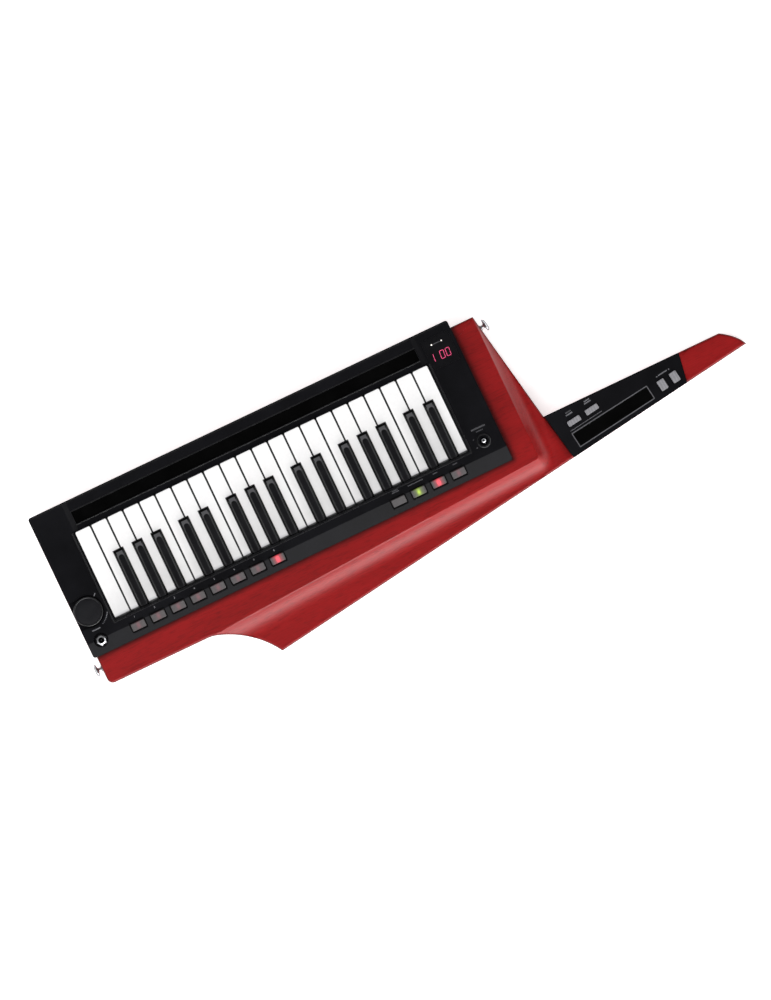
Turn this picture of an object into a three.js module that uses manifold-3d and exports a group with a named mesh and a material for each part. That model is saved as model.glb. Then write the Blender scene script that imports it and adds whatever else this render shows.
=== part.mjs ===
// A shoulder keyboard: a wooden body with a neck, and a black front case with 37 small keys, a long
// touch ribbon beyond them, a row of buttons, a knob, an octave lever and a short ribbon on the neck.
// Millimetres. X runs along the body towards the neck, Y across it, Z out of the front.
// The pieces are drawn with X = 0 at the case's left end, Y = 0 at its near edge and Z = 0 at the
// flat back. The last lines set the origin under the middle of the whole.

import * as THREE from 'three';
import { mergeVertices } from 'three/addons/utils/BufferGeometryUtils.js';
import Module from 'manifold-3d';

const wasm = await Module();
wasm.setup();

const { degToRad } = THREE.MathUtils;

// Clearances
const seatGap = 0.3; // between a piece and what carries it
const overrun = 1; // how far a cutting shape passes the face it cuts

// Wooden body
const bodyThickness = 45; // back to the raised centre
const wingThickness = 30; // back to the neck and the lower wing
const bodyEdgeRadius = 3;
const bodyShowsNear = 35.2; // wood in front of the case's near edge
const bodyCornerRadius = 7;
const waistStart = 128.8; // along X, where the straight near edge turns into the waist
const waistEntryRadius = 40;
const waistEntryAngle = degToRad(19); // where the waist's first bend meets its wide arc
const waistRadius = 112;
const waistAngle = degToRad(59); // at the horn
const neckPastCase = 302.9; // neck tip past the case's right end
const neckFarEdge = 29.6; // along Y
const neckTipDepth = 24.4; // from the far edge to the tip
const neckEndLean = 24.3; // how far the tip lies past the end of the far edge
const neckEndBulge = 4.3; // its curve's control point off the straight line
const neckEndStraightShare = 0.35; // of the way to that point, straight from the tip
const shoulderTopPastCase = 28.7; // where the body's right side starts, at the far edge
const shoulderFootPastCase = 53.6; // where it meets the neck
const creasePastCase = 28.4; // right edge of the raised centre
const creaseNear = 12.2; // its lower right corner, in front of the case's near edge
const creaseAngle = degToRad(3.1);
const coveRadius = 34;
const coveNarrow = 22; // width of the near cove at its neck end
const coveSide = 18; // width of the cove on the neck side
const coveRunout = 0.1; // the coves' arcs reach this far below the wing
const creaseCornerRadius = 5;

// Front case
const caseOverhangFar = 9.8; // past the wood's far edge
const caseOverhangEnd = 3.5; // past the wood's left end
const caseRise = 16; // panel above the wood
const caseWall = 3;
const panelWall = 2.5;
const caseCornerRadius = 3;
const caseChamfer = 2.3;
const slopeRun = 17.4;
const slopeDrop = 8;
const shelfDrop = 4; // long ribbon's shelf below the panel
const shelfEndSlope = 5.8;
const shelfWall = 4;

// Keys
const keyFieldStart = 42.36; // from the case's left end
const keyFieldFromEnd = 42; // from its right end
const keyPitch = 20.62;
const keyGap = 0.9;
const whiteCount = 22;
const whiteVisibleLength = 110.2;
const whiteRise = 1; // top above the case's panel
const whiteCornerRadius = 1.8;
const whiteTravel = 6; // at the front end
const blackTravel = 4.8;
const whiteSkin = 2.5;
const keySideWall = 1.2;
const keyEndWall = 1.5;
const keySkirt = 4; // side walls below the pivot's height
const keySideGap = 1.2; // outer keys to the case
const keyFrontGap = 1;
const keysFromFarEdge = 37.7; // their fronts to the case's far edge
const keyStepGap = 1.2;
const tailTop = 7.5; // above the pivot
const tailRoom = 1;
const tailBehind = 2.8;
const tailPastSlope = 4.2; // tails' ends behind the upper edge of the slope
const stepReach = 6.9; // from the pivot to the rear of the keys' tops
const blackWidth = 10.8;
const blackTopWidth = 6.9;
const blackLength = 70.2;
const blackRise = 8; // above the white keys
const blackFrontLean = 6.4;
const blackRound = 1.6;
const blackFlank = 1; // upright side above the white keys
const blackSideGap = 0.85;
const blackFrontGap = 1.2;
const blackOffsetThree = 3.5;
const blackOffsetTwo = 2.45;

// The order of the whites from the left is C B A G F E D. A black key stands at the left edge of
// these whites of each octave, and its middle is moved by so much.
const octaveWhites = 7;
const blackPlaces = [
  { white: 2, offset: -blackOffsetThree },
  { white: 3, offset: 0 },
  { white: 4, offset: blackOffsetThree },
  { white: 6, offset: -blackOffsetTwo },
  { white: 7, offset: blackOffsetTwo },
];

// Rear tray with the key rails
const windowMarginEnd = 30; // from each end of the case
const windowNear = 12;
const windowFromFarEdge = 29.2;
const windowCornerRadius = 6;
const trayPlate = 3;
const trayLip = 8;
const trayWall = 2.5;
const trayWallHeight = 20;
const pivotRadius = 2.5;
const stopGap = 0.4;
const guideClearance = 0.5;
const guideDepth = 3;
const whiteGuideRise = 12; // above the stop rail
const blackGuideRise = 12;
const guideInset = 6; // from a key's front end
const gussetCount = 7;
const gussetWidth = 2.5;
const gussetReach = 6;
const gussetBelow = 6; // below the pivot
const bayStart = 60;
const bayNear = 46;
const bayLength = 120;
const bayDepth = 40;
const bayHeight = 24;
const bayWall = 2;
const batteryDoorFromEnd = 86; // from the window's right end
const batteryDoorNear = 45;
const batteryDoorLength = 122;
const batteryDoorWidth = 64;
const batteryDoorGroove = 0.8;

// Buttons on the slope
const buttonWidth = 16.8;
const buttonHeight = 9.6; // down the slope
const buttonPitch = 25.56;
const buttonTravel = 0.8; // a pressed button is level with the slope
const buttonRecessSide = 1.15;
const buttonRecessBelow = 2.5;
const buttonRecessDepth = 1.2;
const buttonFlange = 1.2;
const buttonFlangeThickness = 1.2;
const buttonFlangeStart = 1; // below the crease
const buttonStem = 1;
const buttonStemShare = 0.4;
const favoriteCount = 8;
const favoriteFromKeys = 21.1; // middle of the leftmost one, from the keys' start
const functionCount = 4;
const functionFromEnd = 63.4; // middle of the rightmost one, from the case's right end

// Long ribbon
const ribbonPastStart = 6.4; // keys' start to the ribbon's
const ribbonPastEnd = 5.6;
const ribbonLedge = 7.7; // key opening to the ribbon
const ribbonWidth = 14.5;
const ribbonThickness = 1.6;
const ribbonBelowShelf = 0.1;

// Volume knob
const knobX = 17.4;
const knobY = 52.2;
const knobRadius = 17.2;
const knobHeight = 8;
const knobEdge = 0.7;
const knobDish = 0.5;
const knobPocketRadius = 19.1;
const knobPocketHalf = 17.7;
const knobPocketDepth = 6.5;
const knobShaftRadius = 3;
const knobShaftLength = 5;

// Phones socket
const phonesX = 16.8;
const phonesY = 16.2;
const phonesRecessRadius = 8.7;
const phonesRecessDepth = 5.5;
const phonesNutFlats = 12;
const phonesNutSides = 6;
const phonesNutHeight = 3;
const phonesBoreRadius = 3.3;
const phonesBoreDepth = 8.5; // below the nut

// Octave lever
const leverFromEnd = 21.2; // from the case's right end
const leverY = 34.2;
const leverRingRadius = 8.7;
const leverRingHeight = 0.6;
const leverMouthRadius = 5.2;
const leverThroatRadius = 3;
const leverThroatDepth = 5;
const leverPivotRadius = 4.2;
const leverStemRadius = 1.6;
const leverTipRadius = 3.1;
const leverTipAbove = 5.4; // middle of the ball end above the panel
const leverTail = 1; // flat under the pivot ball

// Display window
const displayFromEnd = 39.2; // from the case's right end
const displayWidth = 34.8;
const displayDepth = 37.1;
const displayFromFarEdge = 10.4;
const displayRecess = 0.6;
const displayCornerRadius = 1.2;

// Neck cover, short ribbon and neck buttons
const coverPastCase = 54.5;
const coverLength = 172.2;
const coverStartAngle = degToRad(10.3);
const coverEndAngle = degToRad(9.2);
const coverRise = 1;
const coverSkin = 2.5;
const shortRibbonFromStart = 20.8; // of the cover
const shortRibbonFromEnd = 47.8;
const shortRibbonY = -5.3; // middle
const shortRibbonWidth = 17.2;
const shortRibbonRecess = 0.8;
const neckButtonAngle = degToRad(7.7);
const neckButtonTravel = 0.8;
const neckButtonRise = 1;
const neckButtonGap = 0.4;
const neckButtonFlange = 1;
const neckButtonFlangeThickness = 1.2;
const neckPocketMargin = 0.6;
const neckPocketRoom = 2.2; // under a pressed button
const neckModeX = 29; // middle of the first button, from the cover's start
const neckModeY = 9.9;
const neckModePitch = 24.5;
const neckModeLength = 17;
const neckModeWidth = 7;
const neckValueFromEnd = 32.4; // middle of the first button, from the cover's end
const neckValueY = 3.7;
const neckValuePitch = 16.8;
const neckValueLength = 9.3;
const neckValueWidth = 13.3;

// Strap pins
const pinHeadRadius = 7.5;
const pinHeadThickness = 3.8;
const pinHeadFlatRadius = 4.6;
const pinStemRadius = 3.6;
const pinFootRadius = 6;
const pinFootThickness = 1.2;
const pinFootSink = 0.3;
const pinHeadRimShare = 0.65;
const pinStand = 9.3; // wood to the head's flat face
const pinSink = 4; // into the wood
const tailPinY = -14.2;
const neckPinBelowCorner = 15.7;

// Smoothness
const roundSides = 24;
const knobSides = 40;
const grooveSides = 12;
const cornerSteps = 3;
const coveSteps = 8;
const arcSteps = 10;
const edgeSteps = 2;

// Sizes that follow from those above
const pivotY = slopeRun + tailPastSlope + tailBehind;
const whiteReach = stepReach + whiteVisibleLength;
const blackReach = stepReach + blackLength;
const keyFieldLength = whiteCount * keyPitch - keyGap;
const keyFieldEnd = keyFieldStart + keyFieldLength;
const caseLength = keyFieldStart + whiteCount * keyPitch + keyFieldFromEnd;
const caseDepth = pivotY + whiteReach + keysFromFarEdge;
const caseFloor = bodyThickness + seatGap;
const panelTop = bodyThickness + caseRise;
const shelfTop = panelTop - shelfDrop;
const slopeAngle = Math.atan2(slopeDrop, slopeRun);
const bodyFarEdge = caseDepth - caseOverhangFar;
const neckTipX = caseLength + neckPastCase;
const creaseX = caseLength + creasePastCase;
const coveDrop = bodyThickness - wingThickness + coveRunout;
const coveAngle = Math.acos(1 - coveDrop / coveRadius);
const pivotZ = panelTop - panelWall - tailRoom - tailTop;
const whiteTop = panelTop + whiteRise - pivotZ;
const blackTop = whiteTop + blackRise;
const openingStart = keyFieldStart - keySideGap;
const openingEnd = keyFieldEnd + keySideGap;
const openingNear = pivotY + stepReach - keyStepGap;
const openingFar = pivotY + whiteReach + keyFrontGap;
const blackNotch = blackWidth / 2 + blackSideGap;
const windowEnd = caseLength - windowMarginEnd;
const windowFar = caseDepth - windowFromFarEdge;
const batteryDoorStart = windowEnd - batteryDoorFromEnd - batteryDoorLength;
const favoriteFirst = keyFieldStart + favoriteFromKeys;
const functionFirst = caseLength - functionFromEnd - (functionCount - 1) * buttonPitch;
const ribbonStart = keyFieldStart + ribbonPastStart;
const ribbonLength = keyFieldLength - ribbonPastStart - ribbonPastEnd;
const ribbonNear = openingFar + ribbonLedge;
const leverPivotZ = panelTop - leverThroatDepth - leverPivotRadius - seatGap;
const coverStart = caseLength + coverPastCase;
const coverTop = wingThickness + coverRise;
const coverUnderButtons = seatGap + neckButtonFlangeThickness + neckButtonTravel + neckPocketRoom;
const coverThickness = coverSkin + coverUnderButtons;
const coverFloor = coverTop - coverThickness;
const shortRibbonLength = coverLength - shortRibbonFromStart - shortRibbonFromEnd;
const shortRibbonX = shortRibbonFromStart + shortRibbonLength / 2; // from the cover's start
const neckValueX = coverLength - neckValueFromEnd;
const displayX = caseLength - displayFromEnd;
const displayNear = caseDepth - displayFromFarEdge - displayDepth;
const leverX = caseLength - leverFromEnd;

const X = new THREE.Vector3(1, 0, 0);
const Y = new THREE.Vector3(0, 1, 0);
const Z = new THREE.Vector3(0, 0, 1);

// A closed geometry as a solid that can be joined and cut.
function toSolid(thing) {
  if (!thing.isBufferGeometry) return thing;
  const bare = thing.clone();
  bare.deleteAttribute('normal');
  bare.deleteAttribute('uv');
  const welded = mergeVertices(bare);
  return new wasm.Manifold(new wasm.Mesh({
    numProp: 3,
    vertProperties: welded.attributes.position.array,
    triVerts: new Uint32Array(welded.index.array),
  }));
}

function join(...things) {
  return things.map(toSolid).reduce((whole, part) => whole.add(part));
}

function cut(thing, ...tools) {
  return tools.map(toSolid).reduce((left, tool) => left.subtract(tool), toSolid(thing));
}

function overlap(thing, ...others) {
  return others.map(toSolid).reduce((common, other) => common.intersect(other), toSolid(thing));
}

function toGeometry(thing) {
  const made = toSolid(thing).getMesh();
  const geometry = new THREE.BufferGeometry();
  geometry.setAttribute('position', new THREE.BufferAttribute(made.vertProperties, 3));
  geometry.setIndex(new THREE.BufferAttribute(made.triVerts, 1));
  return geometry;
}

function toMesh(name, thing, material) {
  const geometry = toGeometry(thing);
  geometry.computeVertexNormals();
  const mesh = new THREE.Mesh(geometry, material);
  mesh.name = name;
  return mesh;
}

function polygon(points) {
  return new THREE.Shape(points.map(([a, b]) => new THREE.Vector2(a, b)));
}

// A shape in the XY plane, raised from one height to another.
function plate(shape, low, high, curveSegments = cornerSteps) {
  const options = { depth: high - low, bevelEnabled: false, curveSegments };
  return new THREE.ExtrudeGeometry(shape, options).translate(0, 0, low);
}

// The same with both rims rounded inwards.
function roundedPlate(shape, low, high, radius, curveSegments) {
  const options = {
    depth: high - low - 2 * radius,
    bevelThickness: radius,
    bevelSize: radius,
    bevelOffset: -radius,
    bevelSegments: edgeSteps,
    curveSegments,
  };
  return new THREE.ExtrudeGeometry(shape, options).translate(0, 0, low + radius);
}

// A profile of [y, z] points drawn out along X, and one of [x, z] points along Y.
function alongX(points, from, to) {
  const drawn = plate(polygon(points), from, to);
  return drawn.applyMatrix4(new THREE.Matrix4().makeBasis(Y, Z, X));
}

function alongY(points, from, to) {
  const drawn = plate(polygon(points), -to, -from);
  return drawn.applyMatrix4(new THREE.Matrix4().makeBasis(X, Z, Y.clone().negate()));
}

function box(x0, x1, y0, y1, z0, z1) {
  const block = new THREE.BoxGeometry(x1 - x0, y1 - y0, z1 - z0);
  return block.translate((x0 + x1) / 2, (y0 + y1) / 2, (z0 + z1) / 2);
}

// Upright round pieces, which may taper, around (x, y).
function post(x, y, z0, z1, lowRadius, highRadius = lowRadius, sides = roundSides) {
  const round = new THREE.CylinderGeometry(highRadius, lowRadius, z1 - z0, sides);
  return round.rotateX(Math.PI / 2).translate(x, y, (z0 + z1) / 2);
}

// A profile of [radius, z] points, listed upwards, turned about Z.
function turned(points, sides = roundSides) {
  const profile = points.map(([radius, z]) => new THREE.Vector2(radius, z));
  return new THREE.LatheGeometry(profile, sides).rotateX(Math.PI / 2);
}

function roundedRectangle(x0, x1, y0, y1, radius) {
  const shape = new THREE.Shape();
  shape.absarc(x1 - radius, y0 + radius, radius, -Math.PI / 2, 0);
  shape.absarc(x1 - radius, y1 - radius, radius, 0, Math.PI / 2);
  shape.absarc(x0 + radius, y1 - radius, radius, Math.PI / 2, Math.PI);
  shape.absarc(x0 + radius, y0 + radius, radius, Math.PI, 1.5 * Math.PI);
  return shape;
}

// Body outline: near edge, waist, horn, the long slanting edge to the neck's tip, the neck's end
// and far edge, the leaning right side, the far edge and the left end.
function bodyOutline() {
  const left = caseOverhangEnd;
  const near = -bodyShowsNear;
  const centresApart = waistEntryRadius - waistRadius;
  const waistX = waistStart + centresApart * Math.sin(waistEntryAngle);
  const waistY = near - waistEntryRadius + centresApart * Math.cos(waistEntryAngle);
  const entryEnd = Math.PI / 2 - waistEntryAngle;
  const tip = new THREE.Vector2(neckTipX, neckFarEdge - neckTipDepth);
  const end = new THREE.Vector2(neckTipX - neckEndLean, neckFarEdge);
  const bulge = new THREE.Vector2(neckTipDepth, neckEndLean).setLength(neckEndBulge);
  const bend = tip.clone().add(end).divideScalar(2).add(bulge);
  const straight = tip.clone().lerp(bend, neckEndStraightShare);
  const shape = new THREE.Shape();
  shape.moveTo(waistStart, near);
  shape.quadraticCurveTo(
    waistStart + waistEntryRadius * Math.tan(waistEntryAngle / 2), near,
    waistX + waistRadius * Math.cos(entryEnd), waistY + waistRadius * Math.sin(entryEnd),
  );
  shape.absarc(waistX, waistY, waistRadius, entryEnd, Math.PI / 2 - waistAngle, true);
  shape.lineTo(tip.x, tip.y);
  shape.lineTo(straight.x, straight.y);
  shape.quadraticCurveTo(bend.x, bend.y, end.x, end.y);
  shape.lineTo(caseLength + shoulderFootPastCase, neckFarEdge);
  shape.lineTo(caseLength + shoulderTopPastCase, bodyFarEdge);
  shape.lineTo(left, bodyFarEdge);
  shape.absarc(left + bodyCornerRadius, near + bodyCornerRadius, bodyCornerRadius, Math.PI, 1.5 * Math.PI);
  return shape;
}

// The section of what a cove takes away, as [share of its width, z] points: a hollow arc that starts
// steep at the crease and runs out in the wing, and everything beyond it.
function coveSection() {
  const farShare = caseLength / coveSide;
  const top = bodyThickness + overrun;
  const points = [[0, top]];
  for (let step = 0; step <= coveSteps; step += 1) {
    const angle = coveAngle * (1 - step / coveSteps);
    const share = 1 - Math.sin(angle) / Math.sin(coveAngle);
    points.push([share, wingThickness - coveRunout + coveRadius * (1 - Math.cos(angle))]);
  }
  points.push([1, -overrun], [farShare, -overrun], [farShare, top]);
  return points;
}

// Joins equal closed sections, listed one after the other, into one closed body.
function loft(sections, outline) {
  const count = outline.length;
  const positions = sections.flat().flatMap((point) => point.toArray());
  const index = [];
  for (let s = 0; s + 1 < sections.length; s += 1) {
    for (let i = 0; i < count; i += 1) {
      const a = s * count + i;
      const b = s * count + (i + 1) % count;
      index.push(a, b + count, b, a, a + count, b + count);
    }
  }
  const last = (sections.length - 1) * count;
  const cap = THREE.ShapeUtils.triangulateShape(outline.map(([a, b]) => new THREE.Vector2(a, b)), []);
  cap.forEach(([a, b, c]) => index.push(a, b, c, last + c, last + b, last + a));
  const geometry = new THREE.BufferGeometry();
  geometry.setAttribute('position', new THREE.Float32BufferAttribute(positions, 3));
  geometry.setIndex(index);
  return geometry;
}

// The cove follows the slanting near crease, whose width narrows towards the neck, turns round the
// crease's corner as part of an ellipse, and goes on along the straight crease on the neck side.
function coveTool() {
  const section = coveSection();
  const squeeze = coveSide / coveNarrow;
  const centreX = creaseX - creaseCornerRadius * squeeze;
  const centreY = creaseCornerRadius - creaseNear;
  const fullWidth = coveRadius * Math.sin(coveAngle);
  const startX = waistStart;
  const startY = -creaseNear - (centreX - startX) * Math.tan(creaseAngle);
  const sections = [section.map(([share, z]) => new THREE.Vector3(startX, startY - share * fullWidth, z))];
  for (let step = 0; step <= arcSteps; step += 1) {
    const angle = Math.PI / 2 * (step / arcSteps - 1);
    sections.push(section.map(([share, z]) => {
      const out = creaseCornerRadius + share * coveNarrow;
      return new THREE.Vector3(centreX + out * squeeze * Math.cos(angle), centreY + out * Math.sin(angle), z);
    }));
  }
  sections.push(section.map(([share, z]) => (
    new THREE.Vector3(creaseX + share * coveSide, caseDepth + overrun, z)
  )));
  return loft(sections, section);
}

// A strap pin around Z, with Z = 0 at the wood.
function strapPin() {
  return turned([
    [0, -pinSink],
    [pinStemRadius, -pinSink],
    [pinStemRadius, -pinFootSink],
    [pinFootRadius, -pinFootSink],
    [pinFootRadius, pinFootThickness / 2],
    [pinStemRadius, pinFootThickness],
    [pinStemRadius, pinStand - pinHeadThickness],
    [pinHeadRadius, pinStand - pinHeadThickness],
    [pinHeadRadius, pinStand - pinHeadThickness * pinHeadRimShare],
    [pinHeadFlatRadius, pinStand],
    [0, pinStand],
  ]);
}

// Turns +Z to a level direction and moves the piece to its place.
function facing(angle, x, y, z) {
  const direction = new THREE.Vector3(Math.cos(angle), Math.sin(angle), 0);
  const turn = new THREE.Quaternion().setFromUnitVectors(Z, direction);
  return new THREE.Matrix4().compose(new THREE.Vector3(x, y, z), turn, new THREE.Vector3(1, 1, 1));
}

function strapPins() {
  const sideRun = shoulderFootPastCase - shoulderTopPastCase;
  const sideAngle = Math.atan2(sideRun, bodyFarEdge - neckFarEdge);
  const neckPinX = caseLength + shoulderTopPastCase + neckPinBelowCorner * Math.tan(sideAngle);
  const height = bodyThickness / 2;
  const tail = strapPin().applyMatrix4(facing(Math.PI, caseOverhangEnd, tailPinY, height));
  const neck = strapPin().applyMatrix4(
    facing(sideAngle, neckPinX, bodyFarEdge - neckPinBelowCorner, height),
  );
  return [tail, neck];
}

// The rectangle of the tray's window in the wood, widened or narrowed all round.
function windowShape(wider) {
  return roundedRectangle(
    windowMarginEnd - wider, windowEnd + wider, windowNear - wider, windowFar + wider, windowCornerRadius,
  );
}

// The stretch of the neck under the cover, between two lines that lean towards each other.
function coverStretch(wider, low, high) {
  const start = coverStart - wider;
  const end = start + coverLength + 2 * wider;
  const far = neckFarEdge + overrun;
  const near = -2 * bodyShowsNear;
  const lean = (angle, y) => (neckFarEdge - y) * Math.tan(angle);
  const shape = polygon([
    [start + lean(coverStartAngle, near), near],
    [end - lean(coverEndAngle, near), near],
    [end - lean(coverEndAngle, far), far],
    [start + lean(coverStartAngle, far), far],
  ]);
  return plate(shape, low, high);
}

function woodBody() {
  const outline = bodyOutline();
  const raised = cut(roundedPlate(outline, 0, bodyThickness, bodyEdgeRadius, arcSteps), coveTool());
  const wing = roundedPlate(outline, 0, wingThickness, bodyEdgeRadius, arcSteps);
  const window = plate(windowShape(0), -overrun, bodyThickness + overrun);
  const rebate = plate(windowShape(trayLip + seatGap), -overrun, trayPlate + seatGap);
  const coverBed = coverStretch(seatGap, coverFloor - seatGap, bodyThickness);
  return join(cut(join(raised, wing), window, rebate, coverBed), ...strapPins());
}

// Pivot rail: a wall under the keys' tails whose rounded top lies in their grooves.
function pivotRail() {
  const points = [[pivotY - pivotRadius, trayPlate / 2], [pivotY + pivotRadius, trayPlate / 2]];
  const steps = grooveSides / 2;
  for (let step = 0; step <= steps; step += 1) {
    const angle = Math.PI * step / steps;
    points.push([pivotY + pivotRadius * Math.cos(angle), pivotZ + pivotRadius * Math.sin(angle)]);
  }
  const rail = alongX(points, keyFieldStart, keyFieldEnd);
  const foot = pivotY - pivotRadius;
  const gusset = [
    [foot + pivotRadius, trayPlate / 2],
    [foot + pivotRadius, pivotZ - gussetBelow],
    [foot, pivotZ - gussetBelow],
    [foot - gussetReach, trayPlate / 2],
  ];
  const pieces = [rail];
  for (let i = 0; i < gussetCount; i += 1) {
    const middle = keyFieldStart + keyFieldLength * (i + 1 / 2) / gussetCount;
    pieces.push(alongX(gusset, middle - gussetWidth / 2, middle + gussetWidth / 2));
  }
  return join(...pieces);
}

// A wall that stops the pressed keys, under their front ends, and whose tabs stand in their hollows.
function stopRail(reach, travel, tabs, tabRise) {
  const middle = pivotY + reach - guideInset;
  const far = middle + pivotRadius;
  const top = pivotZ - keySkirt - travel * (far - pivotY) / reach - stopGap;
  const rail = box(keyFieldStart, keyFieldEnd, middle - pivotRadius, far, trayPlate / 2, top);
  const posts = tabs.map(([from, to]) => (
    box(from, to, middle - guideDepth / 2, middle + guideDepth / 2, trayPlate, top + tabRise)
  ));
  return join(rail, ...posts);
}

function rearTray() {
  const lip = plate(windowShape(trayLip), 0, trayPlate);
  const walls = cut(
    plate(windowShape(-seatGap), trayPlate / 2, trayWallHeight),
    plate(windowShape(-seatGap - trayWall), 0, trayWallHeight + overrun),
  );
  const wallIn = keySideWall + guideClearance;
  const whiteTabs = whiteKeys.map(({ x }) => [x + wallIn, x + keyPitch - keyGap - wallIn]);
  const half = blackWidth / 2 - wallIn;
  const blackTabs = blackKeys.map(({ x }) => [x - half, x + half]);
  const bayEnd = bayStart + bayLength;
  const bayFar = bayNear + bayDepth;
  const bayCase = box(
    bayStart - bayWall, bayEnd + bayWall,
    bayNear - bayWall, bayFar + bayWall,
    trayPlate / 2, bayHeight + bayWall,
  );
  const bay = box(bayStart, bayEnd, bayNear, bayFar, -overrun, bayHeight);
  const door = (inset) => roundedRectangle(
    batteryDoorStart + inset, batteryDoorStart + batteryDoorLength - inset,
    batteryDoorNear + inset, batteryDoorNear + batteryDoorWidth - inset, windowCornerRadius,
  );
  const groove = cut(
    plate(door(0), -overrun, batteryDoorGroove),
    plate(door(batteryDoorGroove), -overrun - overrun, batteryDoorGroove + overrun),
  );
  const whole = join(
    lip, walls, bayCase, pivotRail(),
    stopRail(whiteReach, whiteTravel, whiteTabs, whiteGuideRise),
    stopRail(blackReach, blackTravel, blackTabs, blackGuideRise),
  );
  return cut(whole, bay, groove);
}

// The black key at the left edge of a white one, counted from 0, if there is one.
function blackAt(white) {
  const place = white % octaveWhites;
  return blackPlaces.find((black) => (
    black.white === place || (black.white === octaveWhites && place === 0 && white > 0)
  ));
}

// Each white key's left side, and where the part of it between the black keys starts and ends.
function layWhiteKeys() {
  const width = keyPitch - keyGap;
  return Array.from({ length: whiteCount }, (_, i) => {
    const before = blackAt(i);
    const after = blackAt(i + 1);
    return {
      x: keyFieldStart + i * keyPitch,
      narrowFrom: before ? before.offset + blackNotch - keyGap / 2 : 0,
      narrowTo: after ? width + keyGap / 2 + after.offset - blackNotch : width,
    };
  });
}

function layBlackKeys() {
  const keys = [];
  for (let i = 1; i < whiteCount; i += 1) {
    const black = blackAt(i);
    if (black) keys.push({ x: keyFieldStart + i * keyPitch - keyGap / 2 + black.offset });
  }
  return keys;
}

// The tail of a key, with the groove that lies on the pivot rail. Keys are drawn from the pivot.
function keyTail(from, to) {
  const tail = box(from, to, -tailBehind, stepReach + keyEndWall / 2, 0, tailTop);
  const radius = pivotRadius + seatGap;
  const length = to - from + 2 * overrun;
  const groove = new THREE.CylinderGeometry(radius, radius, length, grooveSides).rotateX(Math.PI / 2);
  groove.rotateY(Math.PI / 2).translate((from + to) / 2, 0, 0);
  return cut(tail, groove);
}

function whiteKey({ narrowFrom, narrowTo }) {
  const width = keyPitch - keyGap;
  const notch = blackReach + blackFrontGap;
  const front = new THREE.Shape();
  front.moveTo(0, notch);
  front.lineTo(width, notch);
  front.absarc(width - whiteCornerRadius, whiteReach - whiteCornerRadius, whiteCornerRadius, 0, Math.PI / 2);
  front.absarc(whiteCornerRadius, whiteReach - whiteCornerRadius, whiteCornerRadius, Math.PI / 2, Math.PI);
  const outer = join(
    box(narrowFrom, narrowTo, stepReach, notch + overrun, -keySkirt, whiteTop),
    plate(front, -keySkirt, whiteTop),
  );
  const low = -keySkirt - overrun;
  const roof = whiteTop - whiteSkin;
  const inner = join(
    box(
      narrowFrom + keySideWall, narrowTo - keySideWall,
      stepReach + keyEndWall, notch + keySideWall + overrun, low, roof,
    ),
    box(keySideWall, width - keySideWall, notch + keySideWall, whiteReach - keyEndWall, low, roof),
  );
  return join(cut(outer, inner), keyTail(narrowFrom, narrowTo));
}

function blackKey() {
  const half = blackWidth / 2;
  const topHalf = blackTopWidth / 2;
  const side = alongX([
    [stepReach, -keySkirt],
    [blackReach, -keySkirt],
    [blackReach, whiteTop],
    [blackReach - blackFrontLean + blackRound, blackTop - blackRound - blackRound],
    [blackReach - blackFrontLean, blackTop - blackRound / 2],
    [blackReach - blackFrontLean - blackRound, blackTop],
    [stepReach, blackTop],
  ], -half, half);
  const section = alongY([
    [-half, -keySkirt],
    [half, -keySkirt],
    [half, whiteTop + blackFlank],
    [topHalf, blackTop - blackFlank / 2],
    [topHalf - blackFlank / 2, blackTop],
    [blackFlank / 2 - topHalf, blackTop],
    [-topHalf, blackTop - blackFlank / 2],
    [-half, whiteTop + blackFlank],
  ], stepReach - overrun, blackReach + overrun);
  const hollow = box(
    keySideWall - half, half - keySideWall,
    stepReach + keyEndWall, blackReach - keyEndWall, -keySkirt - overrun, whiteTop - whiteSkin,
  );
  return join(cut(overlap(side, section), hollow), keyTail(-half, half));
}

// The slope's own axes at a button: Y up the slope from its upper edge, Z out of it.
function onSlope(x) {
  const place = new THREE.Matrix4().makeTranslation(x, slopeRun, panelTop);
  return place.multiply(new THREE.Matrix4().makeRotationX(slopeAngle));
}

function slopeButton() {
  const half = buttonWidth / 2;
  const flangeTop = -panelWall - seatGap;
  const bottom = flangeTop - buttonFlangeThickness;
  const flangeEnd = -buttonHeight - buttonFlange;
  const stem = buttonHeight * buttonStemShare / 2;
  return join(
    box(-half, half, -buttonHeight, 0, bottom, buttonTravel),
    box(-half - buttonFlange, half + buttonFlange, flangeEnd, -buttonFlangeStart, bottom, flangeTop),
    box(-half * buttonStemShare, half * buttonStemShare,
      -buttonHeight / 2 - stem, -buttonHeight / 2 + stem, bottom - buttonStem, flangeTop),
  );
}

function slopeButtonTools(x) {
  const half = buttonWidth / 2;
  const recess = box(
    -half - buttonRecessSide, half + buttonRecessSide, -buttonHeight - buttonRecessBelow,
    buttonRecessDepth / Math.tan(slopeAngle) + overrun, -buttonRecessDepth, slopeDrop,
  );
  const hole = box(
    -half - seatGap, half + seatGap, -buttonHeight - seatGap, seatGap, -panelWall - overrun, overrun,
  );
  return [recess.applyMatrix4(onSlope(x)), hole.applyMatrix4(onSlope(x))];
}

const favoriteXs = Array.from({ length: favoriteCount }, (_, i) => favoriteFirst + i * buttonPitch);
const functionXs = Array.from({ length: functionCount }, (_, i) => functionFirst + i * buttonPitch);

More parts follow.
